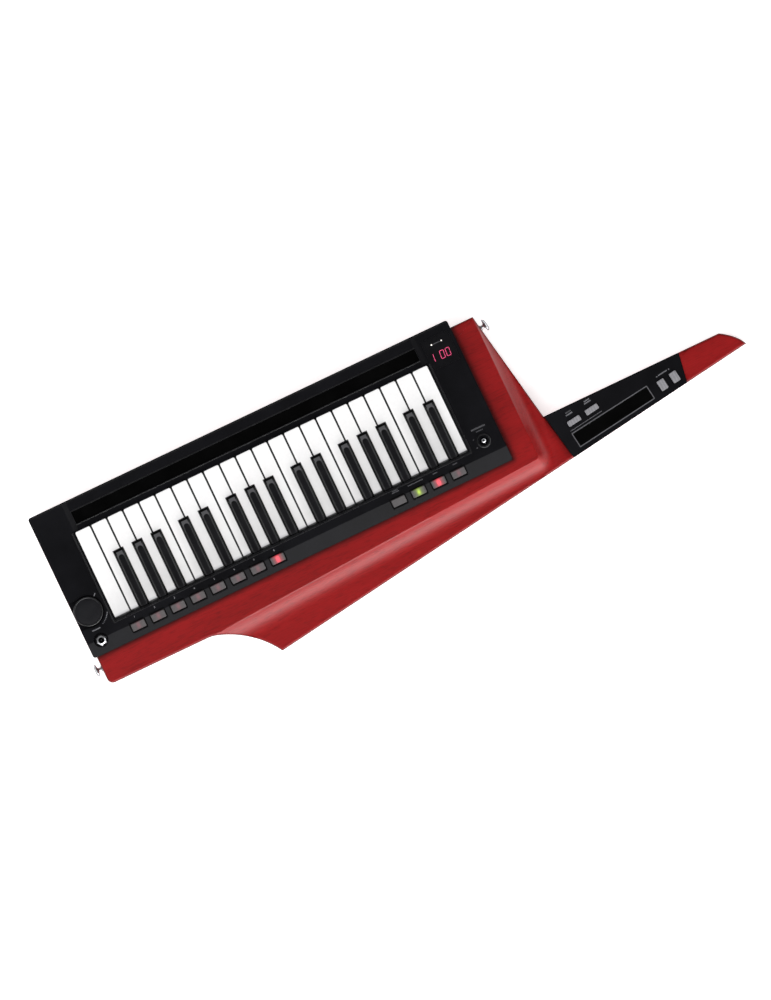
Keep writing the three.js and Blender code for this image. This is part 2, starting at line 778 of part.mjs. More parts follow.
// The lowered shelf, with slanting ends, and its recess for the long ribbon.
function shelfTools() {
  const low = shelfTop - caseChamfer - overrun;
  const high = panelTop + shelfDrop;
  const floor = alongX([
    [openingFar - overrun, shelfTop],
    [caseDepth - caseChamfer, shelfTop],
    [caseDepth + overrun, low],
    [caseDepth + overrun, high],
    [openingFar - overrun, high],
  ], 0, caseLength);
  const ends = alongY([
    [keyFieldStart + shelfEndSlope, low - overrun],
    [keyFieldEnd - shelfEndSlope, low - overrun],
    [keyFieldEnd - shelfEndSlope, shelfTop],
    [keyFieldEnd + shelfEndSlope, high],
    [keyFieldStart - shelfEndSlope, high],
    [keyFieldStart + shelfEndSlope, shelfTop],
  ], openingFar - overrun, caseDepth + 2 * overrun);
  const recess = box(
    ribbonStart - seatGap, ribbonStart + ribbonLength + seatGap,
    ribbonNear - seatGap, ribbonNear + ribbonWidth + seatGap,
    shelfTop - ribbonBelowShelf - ribbonThickness - seatGap, high,
  );
  return [overlap(floor, ends), recess];
}

// The hollow under the slope and the panel's near strip, which the keys' tails reach into, and the
// one under the shelf.
function caseHollows() {
  const low = caseFloor - overrun;
  const roof = panelTop - panelWall;
  const skin = panelWall / Math.cos(slopeAngle);
  const roofStart = slopeRun + (skin - panelWall) / Math.tan(slopeAngle);
  const wallRoof = roof - (roofStart - caseWall) * Math.tan(slopeAngle);
  const strip = alongX([
    [caseWall, low],
    [openingNear + overrun, low],
    [openingNear + overrun, roof],
    [roofStart, roof],
    [caseWall, wallRoof],
  ], openingStart, openingEnd);
  const beam = box(
    openingStart, openingEnd, openingFar + caseWall, caseDepth - caseWall, low, shelfTop - shelfWall,
  );
  return [strip, beam];
}

function frontCase() {
  const high = panelTop + overrun;
  const low = caseFloor - overrun;
  const profile = [
    [0, caseFloor],
    [caseDepth, caseFloor],
    [caseDepth, panelTop - caseChamfer],
    [caseDepth - caseChamfer, panelTop],
    [slopeRun, panelTop],
    [0, panelTop - slopeDrop],
  ];
  const plan = roundedRectangle(0, caseLength, 0, caseDepth, caseCornerRadius);
  const block = overlap(alongX(profile, 0, caseLength), plate(plan, low, high));
  const opening = box(openingStart, openingEnd, openingNear, openingFar, low, high);

  const knobFloor = panelTop - knobPocketDepth;
  const knobPocket = join(
    post(knobX, knobY, knobFloor, high, knobPocketRadius, knobPocketRadius, knobSides),
    box(-overrun, knobX, knobY - knobPocketHalf, knobY + knobPocketHalf, knobFloor, high),
  );
  const shaftRadius = knobShaftRadius + seatGap;
  const shaftBore = post(knobX, knobY, knobFloor - knobShaftLength - seatGap, high, shaftRadius);
  const display = plate(roundedRectangle(
    displayX, displayX + displayWidth, displayNear, displayNear + displayDepth, displayCornerRadius,
  ), panelTop - displayRecess, high);
  const phonesFloor = panelTop - phonesRecessDepth;
  const phonesRecess = post(phonesX, phonesY, phonesFloor, high, phonesRecessRadius);
  const nutRadius = phonesNutFlats / 2 / Math.cos(Math.PI / phonesNutSides);
  const nutFoot = phonesFloor - phonesNutHeight;
  const nutTop = phonesFloor + phonesNutHeight;
  const nut = post(phonesX, phonesY, nutFoot, nutTop, nutRadius, nutRadius, phonesNutSides);
  const phonesBore = post(phonesX, phonesY, phonesFloor - phonesBoreDepth, high, phonesBoreRadius);
  const ring = post(leverX, leverY, panelTop - overrun, panelTop + leverRingHeight, leverRingRadius);
  const throat = panelTop - leverThroatDepth;
  const leverBore = turned([
    [0, low],
    [leverPivotRadius + seatGap, low],
    [leverPivotRadius + seatGap, throat],
    [leverThroatRadius, throat],
    [leverMouthRadius, panelTop + leverRingHeight],
    [leverMouthRadius, high],
    [0, high],
  ]).translate(leverX, leverY, 0);

  const buttonTools = [...favoriteXs, ...functionXs].flatMap(slopeButtonTools);
  const shell = cut(block, opening, ...shelfTools(), ...caseHollows(), ...buttonTools, knobPocket, display);
  return cut(join(cut(shell, phonesRecess), nut, ring), shaftBore, phonesBore, leverBore);
}

function longRibbon() {
  const top = shelfTop - ribbonBelowShelf;
  return box(0, ribbonLength, 0, ribbonWidth, top - ribbonThickness, top);
}

// Knob and lever are drawn from their own turning points.
function volumeKnob() {
  return turned([
    [0, -knobShaftLength],
    [knobShaftRadius, -knobShaftLength],
    [knobShaftRadius, 0],
    [knobRadius - knobEdge, 0],
    [knobRadius, knobEdge],
    [knobRadius, knobHeight - knobEdge],
    [knobRadius - knobEdge, knobHeight],
    [knobRadius - 2 * knobEdge, knobHeight - knobDish],
    [0, knobHeight - knobDish],
  ], knobSides);
}

function octaveLever() {
  const points = [[0, leverTail - leverPivotRadius]];
  const tipZ = panelTop + leverTipAbove - leverPivotZ;
  const tailAngle = Math.asin(leverTail / leverPivotRadius - 1);
  const neckAngleAtPivot = Math.acos(leverStemRadius / leverPivotRadius);
  const neckAngleAtTip = -Math.acos(leverStemRadius / leverTipRadius);
  const arc = (middle, radius, from, to, last) => {
    for (let step = 0; step <= cornerSteps + cornerSteps; step += 1) {
      const angle = from + (to - from) * step / (cornerSteps + cornerSteps);
      points.push([radius * Math.cos(angle), middle + radius * Math.sin(angle)]);
    }
    if (last) points[points.length - 1][0] = 0;
  };
  arc(0, leverPivotRadius, tailAngle, neckAngleAtPivot, false);
  arc(tipZ, leverTipRadius, neckAngleAtTip, Math.PI / 2, true);
  return turned(points);
}

// The neck cover's own axes at a button or the short ribbon, Z = 0 on its face.
function onNeck(x, y) {
  const place = new THREE.Matrix4().makeTranslation(x, y, coverTop);
  return place.multiply(new THREE.Matrix4().makeRotationZ(neckButtonAngle));
}

function centredBox(length, width, low, high) {
  return box(-length / 2, length / 2, -width / 2, width / 2, low, high);
}

function neckButtonRow(name, { x, y, pitch, length, width }) {
  return Array.from({ length: 2 }, (_, i) => ({
    name: `${name}_${i + 1}`,
    x: coverStart + x + i * pitch * Math.cos(neckButtonAngle),
    y: y + i * pitch * Math.sin(neckButtonAngle),
    length,
    width,
  }));
}

const neckButtons = [
  ...neckButtonRow('neck_mode_button', {
    x: neckModeX, y: neckModeY, pitch: neckModePitch, length: neckModeLength, width: neckModeWidth,
  }),
  ...neckButtonRow('neck_value_button', {
    x: neckValueX, y: neckValueY, pitch: neckValuePitch, length: neckValueLength, width: neckValueWidth,
  }),
];

function neckButton({ length, width }) {
  const flangeTop = -coverSkin - seatGap;
  const bottom = flangeTop - neckButtonFlangeThickness;
  const wider = 2 * neckButtonFlange;
  return join(
    centredBox(length, width, bottom, neckButtonRise),
    centredBox(length + wider, width + wider, bottom, flangeTop),
  );
}

function neckButtonTools({ x, y, length, width }) {
  const holeWider = 2 * neckButtonGap;
  const pocketWider = 2 * (neckButtonFlange + neckPocketMargin);
  const hole = centredBox(length + holeWider, width + holeWider, -coverThickness - overrun, overrun);
  const pocket = centredBox(
    length + pocketWider, width + pocketWider, -coverThickness - overrun, -coverSkin,
  );
  return [hole.applyMatrix4(onNeck(x, y)), pocket.applyMatrix4(onNeck(x, y))];
}

function neckCover() {
  const neck = plate(bodyOutline(), coverFloor, coverTop, arcSteps);
  const strip = overlap(coverStretch(0, coverFloor - overrun, coverTop + overrun), neck);
  const ribbon = centredBox(shortRibbonLength, shortRibbonWidth, -shortRibbonRecess, overrun);
  ribbon.applyMatrix4(onNeck(coverStart + shortRibbonX, shortRibbonY));
  return cut(strip, ribbon, ...neckButtons.flatMap(neckButtonTools));
}

// Finishes
function finish(color, roughness, metalness = 0) {
  return new THREE.MeshStandardMaterial({ color, roughness, metalness });
}

const redLacquer = () => finish('#8a1f1e', 0.2);
const blackPlastic = () => finish('#1d1d1f', 0.45);
const blackSheet = () => finish('#0b0b0c', 0.6);
const whitePlastic = () => finish('#f1f0ee', 0.3);
const blackKeyPlastic = () => finish('#17171a', 0.5);
const greyRubber = () => finish('#b9b7b6', 0.5);
const brightMetal = () => finish('#c9c9cb', 0.2, 1);
const mattBlack = () => finish('#1a1a1b', 0.7);

const whiteKeys = layWhiteKeys();
const blackKeys = layBlackKeys();
const twoDigits = (i) => String(i + 1).padStart(2, '0');
const keytar = new THREE.Group();

keytar.add(toMesh('wood_body', woodBody(), redLacquer()));
keytar.add(toMesh('front_case', frontCase(), blackPlastic()));
keytar.add(toMesh('rear_tray', rearTray(), blackPlastic()));

const ribbon = toMesh('long_ribbon', longRibbon(), blackSheet());
ribbon.position.set(ribbonStart, ribbonNear, 0);
keytar.add(ribbon);

const keyboard = new THREE.Group();
keyboard.position.set(0, pivotY, pivotZ);
whiteKeys.forEach((key, i) => {
  const mesh = toMesh(`white_key_${twoDigits(i)}`, whiteKey(key), whitePlastic());
  mesh.position.x = key.x;
  keyboard.add(mesh);
});
blackKeys.forEach((key, i) => {
  const mesh = toMesh(`black_key_${twoDigits(i)}`, blackKey(), blackKeyPlastic());
  mesh.position.x = key.x;
  keyboard.add(mesh);
});
keytar.add(keyboard);

function addSlopeButtons(name, xs) {
  xs.forEach((x, i) => {
    const mesh = toMesh(`${name}_${i + 1}`, slopeButton(), greyRubber());
    mesh.applyMatrix4(onSlope(x));
    keytar.add(mesh);
  });
}
addSlopeButtons('favorite_button', favoriteXs);
addSlopeButtons('function_button', functionXs);

const knob = toMesh('volume_knob', volumeKnob(), mattBlack());
knob.position.set(knobX, knobY, panelTop - knobPocketDepth + seatGap);
keytar.add(knob);

const lever = toMesh('octave_lever', octaveLever(), brightMetal());
lever.position.set(leverX, leverY, leverPivotZ);
keytar.add(lever);

keytar.add(toMesh('neck_cover', neckCover(), blackPlastic()));
neckButtons.forEach((button) => {
  const mesh = toMesh(button.name, neckButton(button), greyRubber());
  mesh.applyMatrix4(onNeck(button.x, button.y));
  keytar.add(mesh);
});

// The origin lies under the middle of the whole.
const extent = new THREE.Box3().setFromObject(keytar);
const middle = extent.getCenter(new THREE.Vector3());
keytar.position.set(-middle.x, -middle.y, -extent.min.z);

const whole = new THREE.Group();
whole.add(keytar);
export default whole;
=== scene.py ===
import math

import bmesh
import bpy
import numpy as np
from mathutils import Matrix, Vector


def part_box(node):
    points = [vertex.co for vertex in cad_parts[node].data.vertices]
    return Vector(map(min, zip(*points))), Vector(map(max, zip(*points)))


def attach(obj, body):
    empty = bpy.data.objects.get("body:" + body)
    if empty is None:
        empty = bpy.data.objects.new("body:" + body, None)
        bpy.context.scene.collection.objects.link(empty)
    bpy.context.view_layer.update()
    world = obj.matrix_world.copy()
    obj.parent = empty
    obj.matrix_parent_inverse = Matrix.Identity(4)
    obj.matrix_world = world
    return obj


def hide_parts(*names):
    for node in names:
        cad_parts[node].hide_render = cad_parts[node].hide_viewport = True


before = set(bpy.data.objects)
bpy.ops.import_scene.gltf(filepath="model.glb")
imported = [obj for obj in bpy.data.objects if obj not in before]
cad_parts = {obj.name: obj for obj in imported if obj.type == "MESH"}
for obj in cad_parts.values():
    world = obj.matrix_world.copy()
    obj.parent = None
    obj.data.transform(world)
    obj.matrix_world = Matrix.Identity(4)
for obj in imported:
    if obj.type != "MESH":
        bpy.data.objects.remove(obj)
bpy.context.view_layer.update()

# Pieces are worked out in millimetres from the case's near left corner, X along the case, Y across
# it and Z up from the flat back. PLACE moves them to the frame.
MM = 0.001
CASE_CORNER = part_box("front_case")[0]
PLACE = np.array([CASE_CORNER.x, CASE_CORNER.y, 0.0])


def span(node):
    """A node's lowest and highest corners, in millimetres from the case's corner."""
    return [(np.array(corner) - PLACE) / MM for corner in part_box(node)]


def middle(node):
    """The middle of a node's box seen from above."""
    low, high = span(node)
    return (low[:2] + high[:2]) / 2


# Heights of the wood, the case and the neck's cover, and the slopes of the case and the neck
WING_TOP = 30.0
RAISED_TOP = 45.0
PANEL = 61.0
SHELF = 57.0
COVER_TOP = 31.0
SLOPE_RUN = 17.4
SLOPE_ANGLE = math.atan2(8.0, SLOPE_RUN)
NECK_ANGLE = math.radians(7.7)
PHONES = (16.9, 15.8)


# Camera and lights

def link(thing):
    bpy.context.scene.collection.objects.link(thing)
    return thing


def aim(thing, place, target, up=(0, 0, 1)):
    """Puts a lamp or camera at a place, looking at the target, with its top towards up."""
    back = (Vector(place) - Vector(target)).normalized()
    right = Vector(up).cross(back).normalized()
    turn = Matrix((right, back.cross(right), back)).transposed().to_4x4()
    thing.matrix_world = Matrix.Translation(place) @ turn


# The photograph looks straight down on the keyboard, which lies turned 25.4 degrees, through a very
# long lens. Its frame is 1.16 m high where the object lies.
CAMERA_TURN = math.radians(25.44)
CAMERA_HEIGHT = 30.0
LOOK_AT = Vector((PLACE[0] + 384.36 * MM, PLACE[1] + 20.97 * MM, 0.05))
FRAME_HEIGHT = 1.16

camera_data = bpy.data.cameras.new("camera")
camera_data.sensor_width = 36
camera_data.lens = camera_data.sensor_width * CAMERA_HEIGHT / FRAME_HEIGHT
camera_data.clip_end = 60
camera = link(bpy.data.objects.new("camera", camera_data))
aim(camera, LOOK_AT + Vector((0, 0, CAMERA_HEIGHT)), LOOK_AT,
    up=(math.sin(CAMERA_TURN), math.cos(CAMERA_TURN), 0))
bpy.context.scene.camera = camera


def softbox(name, place, target, width, height, power):
    """A soft rectangular lamp, aimed at the target."""
    data = bpy.data.lights.new(name, "AREA")
    data.shape = "RECTANGLE"
    data.size, data.size_y, data.energy = width, height, power
    lamp = link(bpy.data.objects.new(name, data))
    aim(lamp, place, target)
    lamp.visible_camera = False
    return lamp


# A wide overhead lamp lights the keys; polished faces don't mirror it. A stronger one near the floor
# fills the hollow coves, and a weak one on the neck's side lights the side cove.
softbox("overhead_softbox", (-0.8, 0.1, 2.5), (0, 0, 0), 2.6, 2.2, 43).visible_glossy = False
softbox("near_softbox", (0.1, -2.5, 1.05), (0.05, 0, 0), 3.6, 1.7, 89)
softbox("right_softbox", (2.6, -0.3, 0.9), (0.1, 0, 0), 1.8, 0.9, 9)


# Node helpers

def colour(code):
    """An sRGB hex colour as linear RGBA."""
    parts = [int(code[i:i + 2], 16) / 255 for i in (1, 3, 5)]
    return [c / 12.92 if c <= 0.04045 else ((c + 0.055) / 1.055) ** 2.4 for c in parts] + [1.0]


def feed(tree, socket, value):
    """Gives a socket a number, a vector or a hex colour, or links it to the output given or to the
    first output of the node given."""
    if isinstance(value, bpy.types.Node):
        value = value.outputs[0]
    if isinstance(value, bpy.types.NodeSocket):
        tree.links.new(value, socket)
    else:
        socket.default_value = colour(value) if isinstance(value, str) else value


def add(tree, kind, *inputs, stops=(), **named):
    """Adds one node. Its inputs are given in order or by name, as feed takes them. Names in small
    letters are its settings, and stops are a colour ramp's places and colours."""
    made = tree.nodes.new("ShaderNode" + kind)
    for name in [name for name in named if name.islower()]:
        setattr(made, name, named.pop(name))
    for name, value in [*enumerate(inputs), *named.items()]:
        feed(tree, made.inputs[name if isinstance(name, int) else name.replace("_", " ")], value)
    for k, (position, code) in enumerate(stops):
        elements = made.color_ramp.elements
        element = elements[k] if k < len(elements) else elements.new(position)
        element.position = position
        element.color = colour(code)
    return made


def shader_input(tree, name):
    return tree.nodes["Principled BSDF"].inputs[name.replace("_", " ")]


def setup(tree, **values):
    """Feeds the shader's own sockets, with underscores for the blanks in their names."""
    for name, value in values.items():
        feed(tree, shader_input(tree, name), value)


def layer(tree, top, share=1.0, blend="MULTIPLY", stops=()):
    """Lays a colour, or a value through a ramp of colours, over what feeds the shader's base colour."""
    if stops:
        top = add(tree, "ValToRGB", top, stops=stops)
    below = shader_input(tree, "Base Color").links[0].from_socket
    mixed = add(tree, "Mix", share, data_type="RGBA", blend_type=blend)
    feed(tree, mixed.inputs[6], below)
    feed(tree, mixed.inputs[7], top)
    setup(tree, Base_Color=mixed.outputs[2])


def material(name, build):
    """A material whose nodes build(tree) sets up around one Principled shader."""
    made = bpy.data.materials.new(name)
    made.use_nodes = True
    tree = made.node_tree
    tree.nodes.clear()
    add(tree, "OutputMaterial", Surface=add(tree, "BsdfPrincipled"))
    build(tree)
    return made


def object_place(tree, scale=(1, 1, 1), turn=(0, 0, 0)):
    """Object coordinates, scaled in patterns per metre."""
    return add(tree, "Mapping", add(tree, "TexCoord").outputs["Object"], Scale=scale, Rotation=turn)


def grain(tree, spacing, strength, distance):
    """A fine moulded or sprayed grain: a noise bump with its bumps so many millimetres apart."""
    noise = add(tree, "TexNoise", object_place(tree), Scale=1000 / spacing, Detail=2.0, Roughness=0.55)
    setup(tree, Normal=add(tree, "Bump", strength, distance * MM, Height=noise))


def mottle(tree, spacing, low, high, edge, dark, light):
    """Slow changes of roughness, from low to high, and of colour, from dark to light between edge and
    1 - edge of the noise, as handling leaves them."""
    noise = add(tree, "TexNoise", object_place(tree), Scale=1000 / spacing, Detail=4.0, Roughness=0.6)
    setup(tree, Base_Color=add(tree, "ValToRGB", noise, stops=[(edge, dark), (1 - edge, light)]),
          Roughness=add(tree, "MapRange", noise, 0.3, 0.7, low, high))


def plain(name, mottling, bumps=None, **values):
    """A material of one mottled colour, with a fine grain if one is given."""
    def build(tree):
        mottle(tree, *mottling)
        if bumps:
            grain(tree, *bumps)
        setup(tree, **values)
    return material(name, build)


# Materials

def red_stained_mahogany(tree):
    # Mahogany stained a clear red and lacquered: fine dark pores and slow bands along the body
    # under a smooth gloss. Painted shade darkens the colour round the rounded edges.
    along = (0, 0, math.radians(-4))
    bands = add(tree, "TexNoise", object_place(tree, (2.2, 26, 26), along), Scale=1.0, Detail=5.0,
                Roughness=0.6, Distortion=0.4)
    # Pores are 1 mm apart, coarser than real, so that they show.
    pores = add(tree, "TexNoise", object_place(tree, (70, 900, 900), along), Scale=1.0, Detail=3.0,
                Roughness=0.7)
    rim = add(tree, "Attribute", attribute_name="rim").outputs["Fac"]
    setup(tree, Base_Color=add(tree, "ValToRGB", bands, stops=[
        (0.3, "#7c0708"), (0.5, "#88080a"), (0.7, "#920d0f")]))
    layer(tree, pores, 0.8, stops=[(0.34, "#c4b0b0"), (0.52, "#ffffff")])
    # Painted shade: the rim attribute darkens the rounded edges.
    layer(tree, rim, stops=[(0.0, "#ffffff"), (0.55, "#f4ecec"), (0.95, "#8e7c7e")])
    # Painted shadow on the wood along the foot of the black case: the distance from its box, drawn very
    # tall from the raised top up, is the length of max(|p - centre| - half, 0).
    low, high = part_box("front_case")
    centre = ((low.x + high.x) / 2, (low.y + high.y) / 2, RAISED_TOP * MM + 1)
    half = ((high.x - low.x) / 2, (high.y - low.y) / 2, 1)
    away = add(tree, "TexCoord").outputs["Object"]
    for operation, *values in (("SUBTRACT", centre), ("ABSOLUTE",), ("SUBTRACT", half),
                               ("MAXIMUM", (0, 0, 0)), ("LENGTH",)):
        away = add(tree, "VectorMath", away, *values, operation=operation)
    near = add(tree, "MapRange", away.outputs["Value"], 0.0, 8 * MM)
    layer(tree, near, stops=[(0.0, "#6e6466"), (0.25, "#b8b0b0"), (0.8, "#ffffff")])
    setup(tree, Coat_Weight=add(tree, "MapRange", rim, 0.2, 0.8, 0.6, 0.25), Coat_Roughness=0.4, Coat_IOR=1.5,
          Normal=add(tree, "Bump", 0.12, 0.08 * MM, Height=pores), Roughness=0.5, IOR=1.5,
          Specular_IOR_Level=0.1)


# The keys come out from under the opening's rim this far from their tails.
KEYS_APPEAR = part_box("white_key_01")[0].y + 9.7 * MM


def polished_white_key(tree):
    # White ABS keys, moulded and polished: clean white on top. Painted shade darkens the walls between
    # the keys and the pivot's end under the rim, and the tops grow a little darker towards the pivot.
    mottle(tree, 3.5, 0.3, 0.34, 0.25, "#efeeee", "#f4f3f3")
    seen = add(tree, "TexCoord")
    way = add(tree, "SeparateXYZ", seen.outputs["Normal"])
    # Painted shade down the walls between the keys.
    sideways = add(tree, "Math", way.outputs["X"], operation="ABSOLUTE")
    layer(tree, sideways, stops=[(0.04, "#ffffff"), (0.4, "#28282a")])
    # Painted shade at the pivot's end under the rim, and the tops a little darker towards it.
    spot = add(tree, "SeparateXYZ", seen.outputs["Object"])
    from_pivot = add(tree, "MapRange", spot.outputs["Y"], KEYS_APPEAR, KEYS_APPEAR + 100 * MM)
    layer(tree, from_pivot, stops=[(0.011, "#1c1c1e"), (0.02, "#c4c4c6"), (0.05, "#e3e3e3"),
                                   (0.35, "#fafafa"), (0.6, "#ffffff")])
    grain(tree, 1.6, 0.06, 0.03)
    setup(tree, IOR=1.5)


def textured_black_key(tree):
    # Black ABS keys with a fine mould texture on top that breaks up the light. Painted shade makes
    # their lower edges the deepest black, and a painted highlight turns the sloping front ends paler grey.
    mottle(tree, 30, 0.42, 0.5, 0.35, "#101012", "#161618")
    from_front = add(tree, "Attribute", attribute_name="from_front").outputs["Vector"]
    x, y, _ = add(tree, "SeparateXYZ", from_front).outputs
    side = add(tree, "Math", x, operation="ABSOLUTE")
    # The dark top ends in a half circle: its distance is root(x x + q q), q counted from the centre.
    ahead = add(tree, "Math", 8.6, y, operation="SUBTRACT")
    past = add(tree, "Math", ahead, 0.0, operation="MAXIMUM")
    reach = add(tree, "VectorMath", add(tree, "CombineXYZ", side, past), operation="LENGTH")
    beyond = add(tree, "MapRange", reach.outputs["Value"], 2.7, 3.5)
    front = add(tree, "MapRange", y, 9.5, 6.5, 0.14, 1.0)
    # Painted highlight: pale grey over the sloping front end, and faintly down the sides of the top.
    layer(tree, "#626265", add(tree, "Math", beyond, front, operation="MULTIPLY"), "MIX")
    # Painted shade: the lowest sides and the front foot are the deepest black.
    low_side = add(tree, "MapRange", side, 3.5, 4.1)
    low_front = add(tree, "MapRange", y, 1.9, 1.3)
    layer(tree, "#020203", add(tree, "Math", low_side, low_front, operation="MAXIMUM"), "MIX")
    grain(tree, 1.1, 0.5, 0.1)
    setup(tree, IOR=1.5, Specular_IOR_Level=0.1)


def satin_nickel(tree):
    # Nickel plate over turned brass, bead-blasted: pale grey with a soft sheen instead of a mirror.
    # Its edges are painted dark, a painted reflection of the dark side of the room.
    mottle(tree, 5, 0.2, 0.3, 0.3, "#bcbcc0", "#cecfd2")
    facing = add(tree, "LayerWeight", 0.5).outputs["Facing"]
    layer(tree, facing, stops=[(0.35, "#ffffff"), (0.75, "#3a3a3c")])
    grain(tree, 0.8, 0.06, 0.02)
    setup(tree, Metallic=0.8)


def hatched_silicone(tree):
    # Pale silicone rubber with a fine moulded hatching, which breaks its grey into light and dark
    # threads. They are 1.6 mm apart, twice as coarse as real.
    mottle(tree, 2.5, 0.5, 0.6, 0.3, "#939296", "#a1a0a4")
    threads = add(tree, "TexWave", object_place(tree, turn=(0, 0, math.radians(38))), wave_type="BANDS",
                  Scale=2 * math.pi / (20 * 1.6 * MM), Distortion=0.6, Detail=1.0).outputs["Fac"]
    layer(tree, threads, stops=[(0.2, "#b6b6b8"), (0.8, "#ffffff")])
    setup(tree, Normal=add(tree, "Bump", 0.3, 0.08 * MM, Height=threads), IOR=1.41)


def glow(name, code, strength):
    """A translucent grey silicone button whose lamp shines through its middle in this colour."""
    def build(tree):
        # Silicone rubber, moulded and sprayed matt: milky grey, its lamp an upright streak in the
        # middle with a weak halo.
        mottle(tree, 2.5, 0.5, 0.6, 0.3, "#343132", "#3e3b3c")
        grain(tree, 0.8, 0.15, 0.04)
        from_middle = add(tree, "Attribute", attribute_name="from_middle").outputs["Vector"]
        parts = add(tree, "SeparateXYZ", from_middle)
        falls = []
        for axis, reach, top in (("X", 3.4, 1.0), ("Y", 5.6, 1.0), ("X", 8.0, 0.28)):
            size = add(tree, "Math", parts.outputs[axis], operation="ABSOLUTE")
            falls.append(add(tree, "MapRange", size, reach, 0.0, 0.0, top, interpolation_type="SMOOTHSTEP"))
        streak = add(tree, "Math", *falls[:2], operation="MULTIPLY")
        both = add(tree, "Math", streak, falls[2], operation="ADD")
        setup(tree, Emission_Strength=add(tree, "Math", both, strength, operation="MULTIPLY"),
              Emission_Color=code, IOR=1.41)
    return material(name, build)


def lit_segment(name, code, strength):
    """A lamp or display segment that shines evenly in this colour."""
    def build(tree):
        # Cast epoxy over the lamp: an even glow with slightly brighter middles.
        mottle(tree, 4, 0.3, 0.4, 0.3, code, code)
        noise = add(tree, "TexNoise", object_place(tree), Scale=400.0, Detail=1.0)
        level = add(tree, "MapRange", noise, 0.3, 0.7, strength * 0.85, strength * 1.15)
        setup(tree, Emission_Strength=level, Emission_Color=code)
    return material(name, build)


RED_WOOD = material("mahogany_stained_red_lacquered", red_stained_mahogany)
WHITE_KEY = material("abs_white_polished", polished_white_key)
BLACK_KEY = material("abs_black_fine_texture", textured_black_key)
NICKEL = material("nickel_plate_bead_blasted", satin_nickel)
BUTTON_NECK = material("silicone_pale_grey_hatched", hatched_silicone)
BUTTON_DIM = glow("silicone_grey_lamp_faint", "#b0324e", 0.2)
BUTTON_PLAIN = glow("silicone_grey_unlit", "#808080", 0.01)
BUTTON_RED = glow("silicone_grey_lamp_red", "#ff3048", 1.5)
BUTTON_GREEN = glow("silicone_grey_lamp_green", "#a8cc10", 1.0)
SEGMENT = lit_segment("epoxy_segment_lit_red", "#d64a74", 0.7)
DIM_LAMP = lit_segment("epoxy_lamp_dim_white", "#f4f0e8", 0.3)
WHITE_LAMP = lit_segment("epoxy_lamp_lit_white", "#f4f0e8", 1.0)
# Black ABS from an etched mould: deep black with a soft, slightly grainy sheen.
CASE = plain("abs_black_etched_mould", (60, 0.34, 0.42, 0.35, "#0e0e10", "#131316"),
             (0.7, 0.2, 0.05), IOR=1.5, Specular_IOR_Level=0.09)
# Black ABS lips, polished where the mould parts: they catch the light as thin bright lines.
LIP = plain("abs_black_polished_lip", (12, 0.24, 0.32, 0.35, "#141416", "#19191b"),
            (1.5, 0.04, 0.02), IOR=1.5, Specular_IOR_Level=0.6)
# Matt polyester film over the ribbon sensor: the deepest black, with a fine print grain.
RIBBON = plain("polyester_film_matt_black", (25, 0.5, 0.6, 0.35, "#020202", "#040404"),
               (0.5, 0.1, 0.03), IOR=1.45, Specular_IOR_Level=0.05)
# Chromium plate over polished brass: a bright mirror with faint wiping marks.
CHROME = plain("chromium_plate_polished", (6, 0.08, 0.16, 0.3, "#aeb0b4", "#c2c3c6"),
               (0.9, 0.03, 0.02), Metallic=1.0)
# Knob with a sprayed soft-touch paint: very matt, dark grey, faint grain.
KNOB = plain("soft_touch_paint_sprayed", (20, 0.42, 0.5, 0.35, "#131316", "#18181b"),
             (0.6, 0.2, 0.04), IOR=1.45, Specular_IOR_Level=0.4)
# Smoked acrylic window with an anti-glare coat: nearly black, and only softly glossy.
SMOKED = plain("acrylic_smoked_polished", (18, 0.3, 0.36, 0.35, "#0f0f11", "#131315"),
               IOR=1.49, Specular_IOR_Level=0.12)
# Unlit moulded nylon inside the sockets.
SOCKET = plain("nylon_black_moulded", (5, 0.6, 0.75, 0.35, "#020202", "#050505"),
               IOR=1.5, Specular_IOR_Level=0.05)
# Coarse spark-eroded black ABS of the back: greyer and rougher than the case.
TRAY = plain("abs_black_spark_eroded", (40, 0.55, 0.68, 0.3, "#141415", "#1c1c1e"),
             (1.0, 0.5, 0.12), IOR=1.5)
# Screen-printed inks, thin, matt and a little broken in the film: pale grey, white, and a dark grey
# that is hardly lighter than the plastic under it.
PRINT, BRIGHT_PRINT, FAINT_PRINT = [
    plain(f"ink_{name}_screen_printed", (1.2, 0.55, 0.75, 0.3, dark, light), IOR=1.45)
    for name, dark, light in (("pale_grey", "#66666a", "#85858a"), ("white", "#949498", "#b0b0b4"),
                              ("dark_grey", "#47474a", "#5a5a5e"))]


# Surface helpers

RING = (True, True)


def quads(rows, columns, wrap_rows=False, wrap_columns=False):
    """Faces of a grid of points: each joins a point to the next along and across. A wrapped way
    joins its last row or column to the first."""
    r = np.arange(rows if wrap_rows else rows - 1)[:, None]
    c = np.arange(columns if wrap_columns else columns - 1)[None, :]
    r_next, c_next = (r + 1) % rows, (c + 1) % columns
    corners = [r * columns + c, r * columns + c_next, r_next * columns + c_next, r_next * columns + c]
    return np.stack(np.broadcast_arrays(*corners), -1).reshape(-1, 4)


def finished(name, mesh, finish, body, replaces=()):
    """Makes the object of a mesh, with its finish and body, and hides the nodes that it replaces."""
    mesh.materials.clear()
    mesh.materials.append(finish)
    made = link(bpy.data.objects.new(name, mesh))
    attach(made, body)
    if replaces:
        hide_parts(*replaces)
    return made


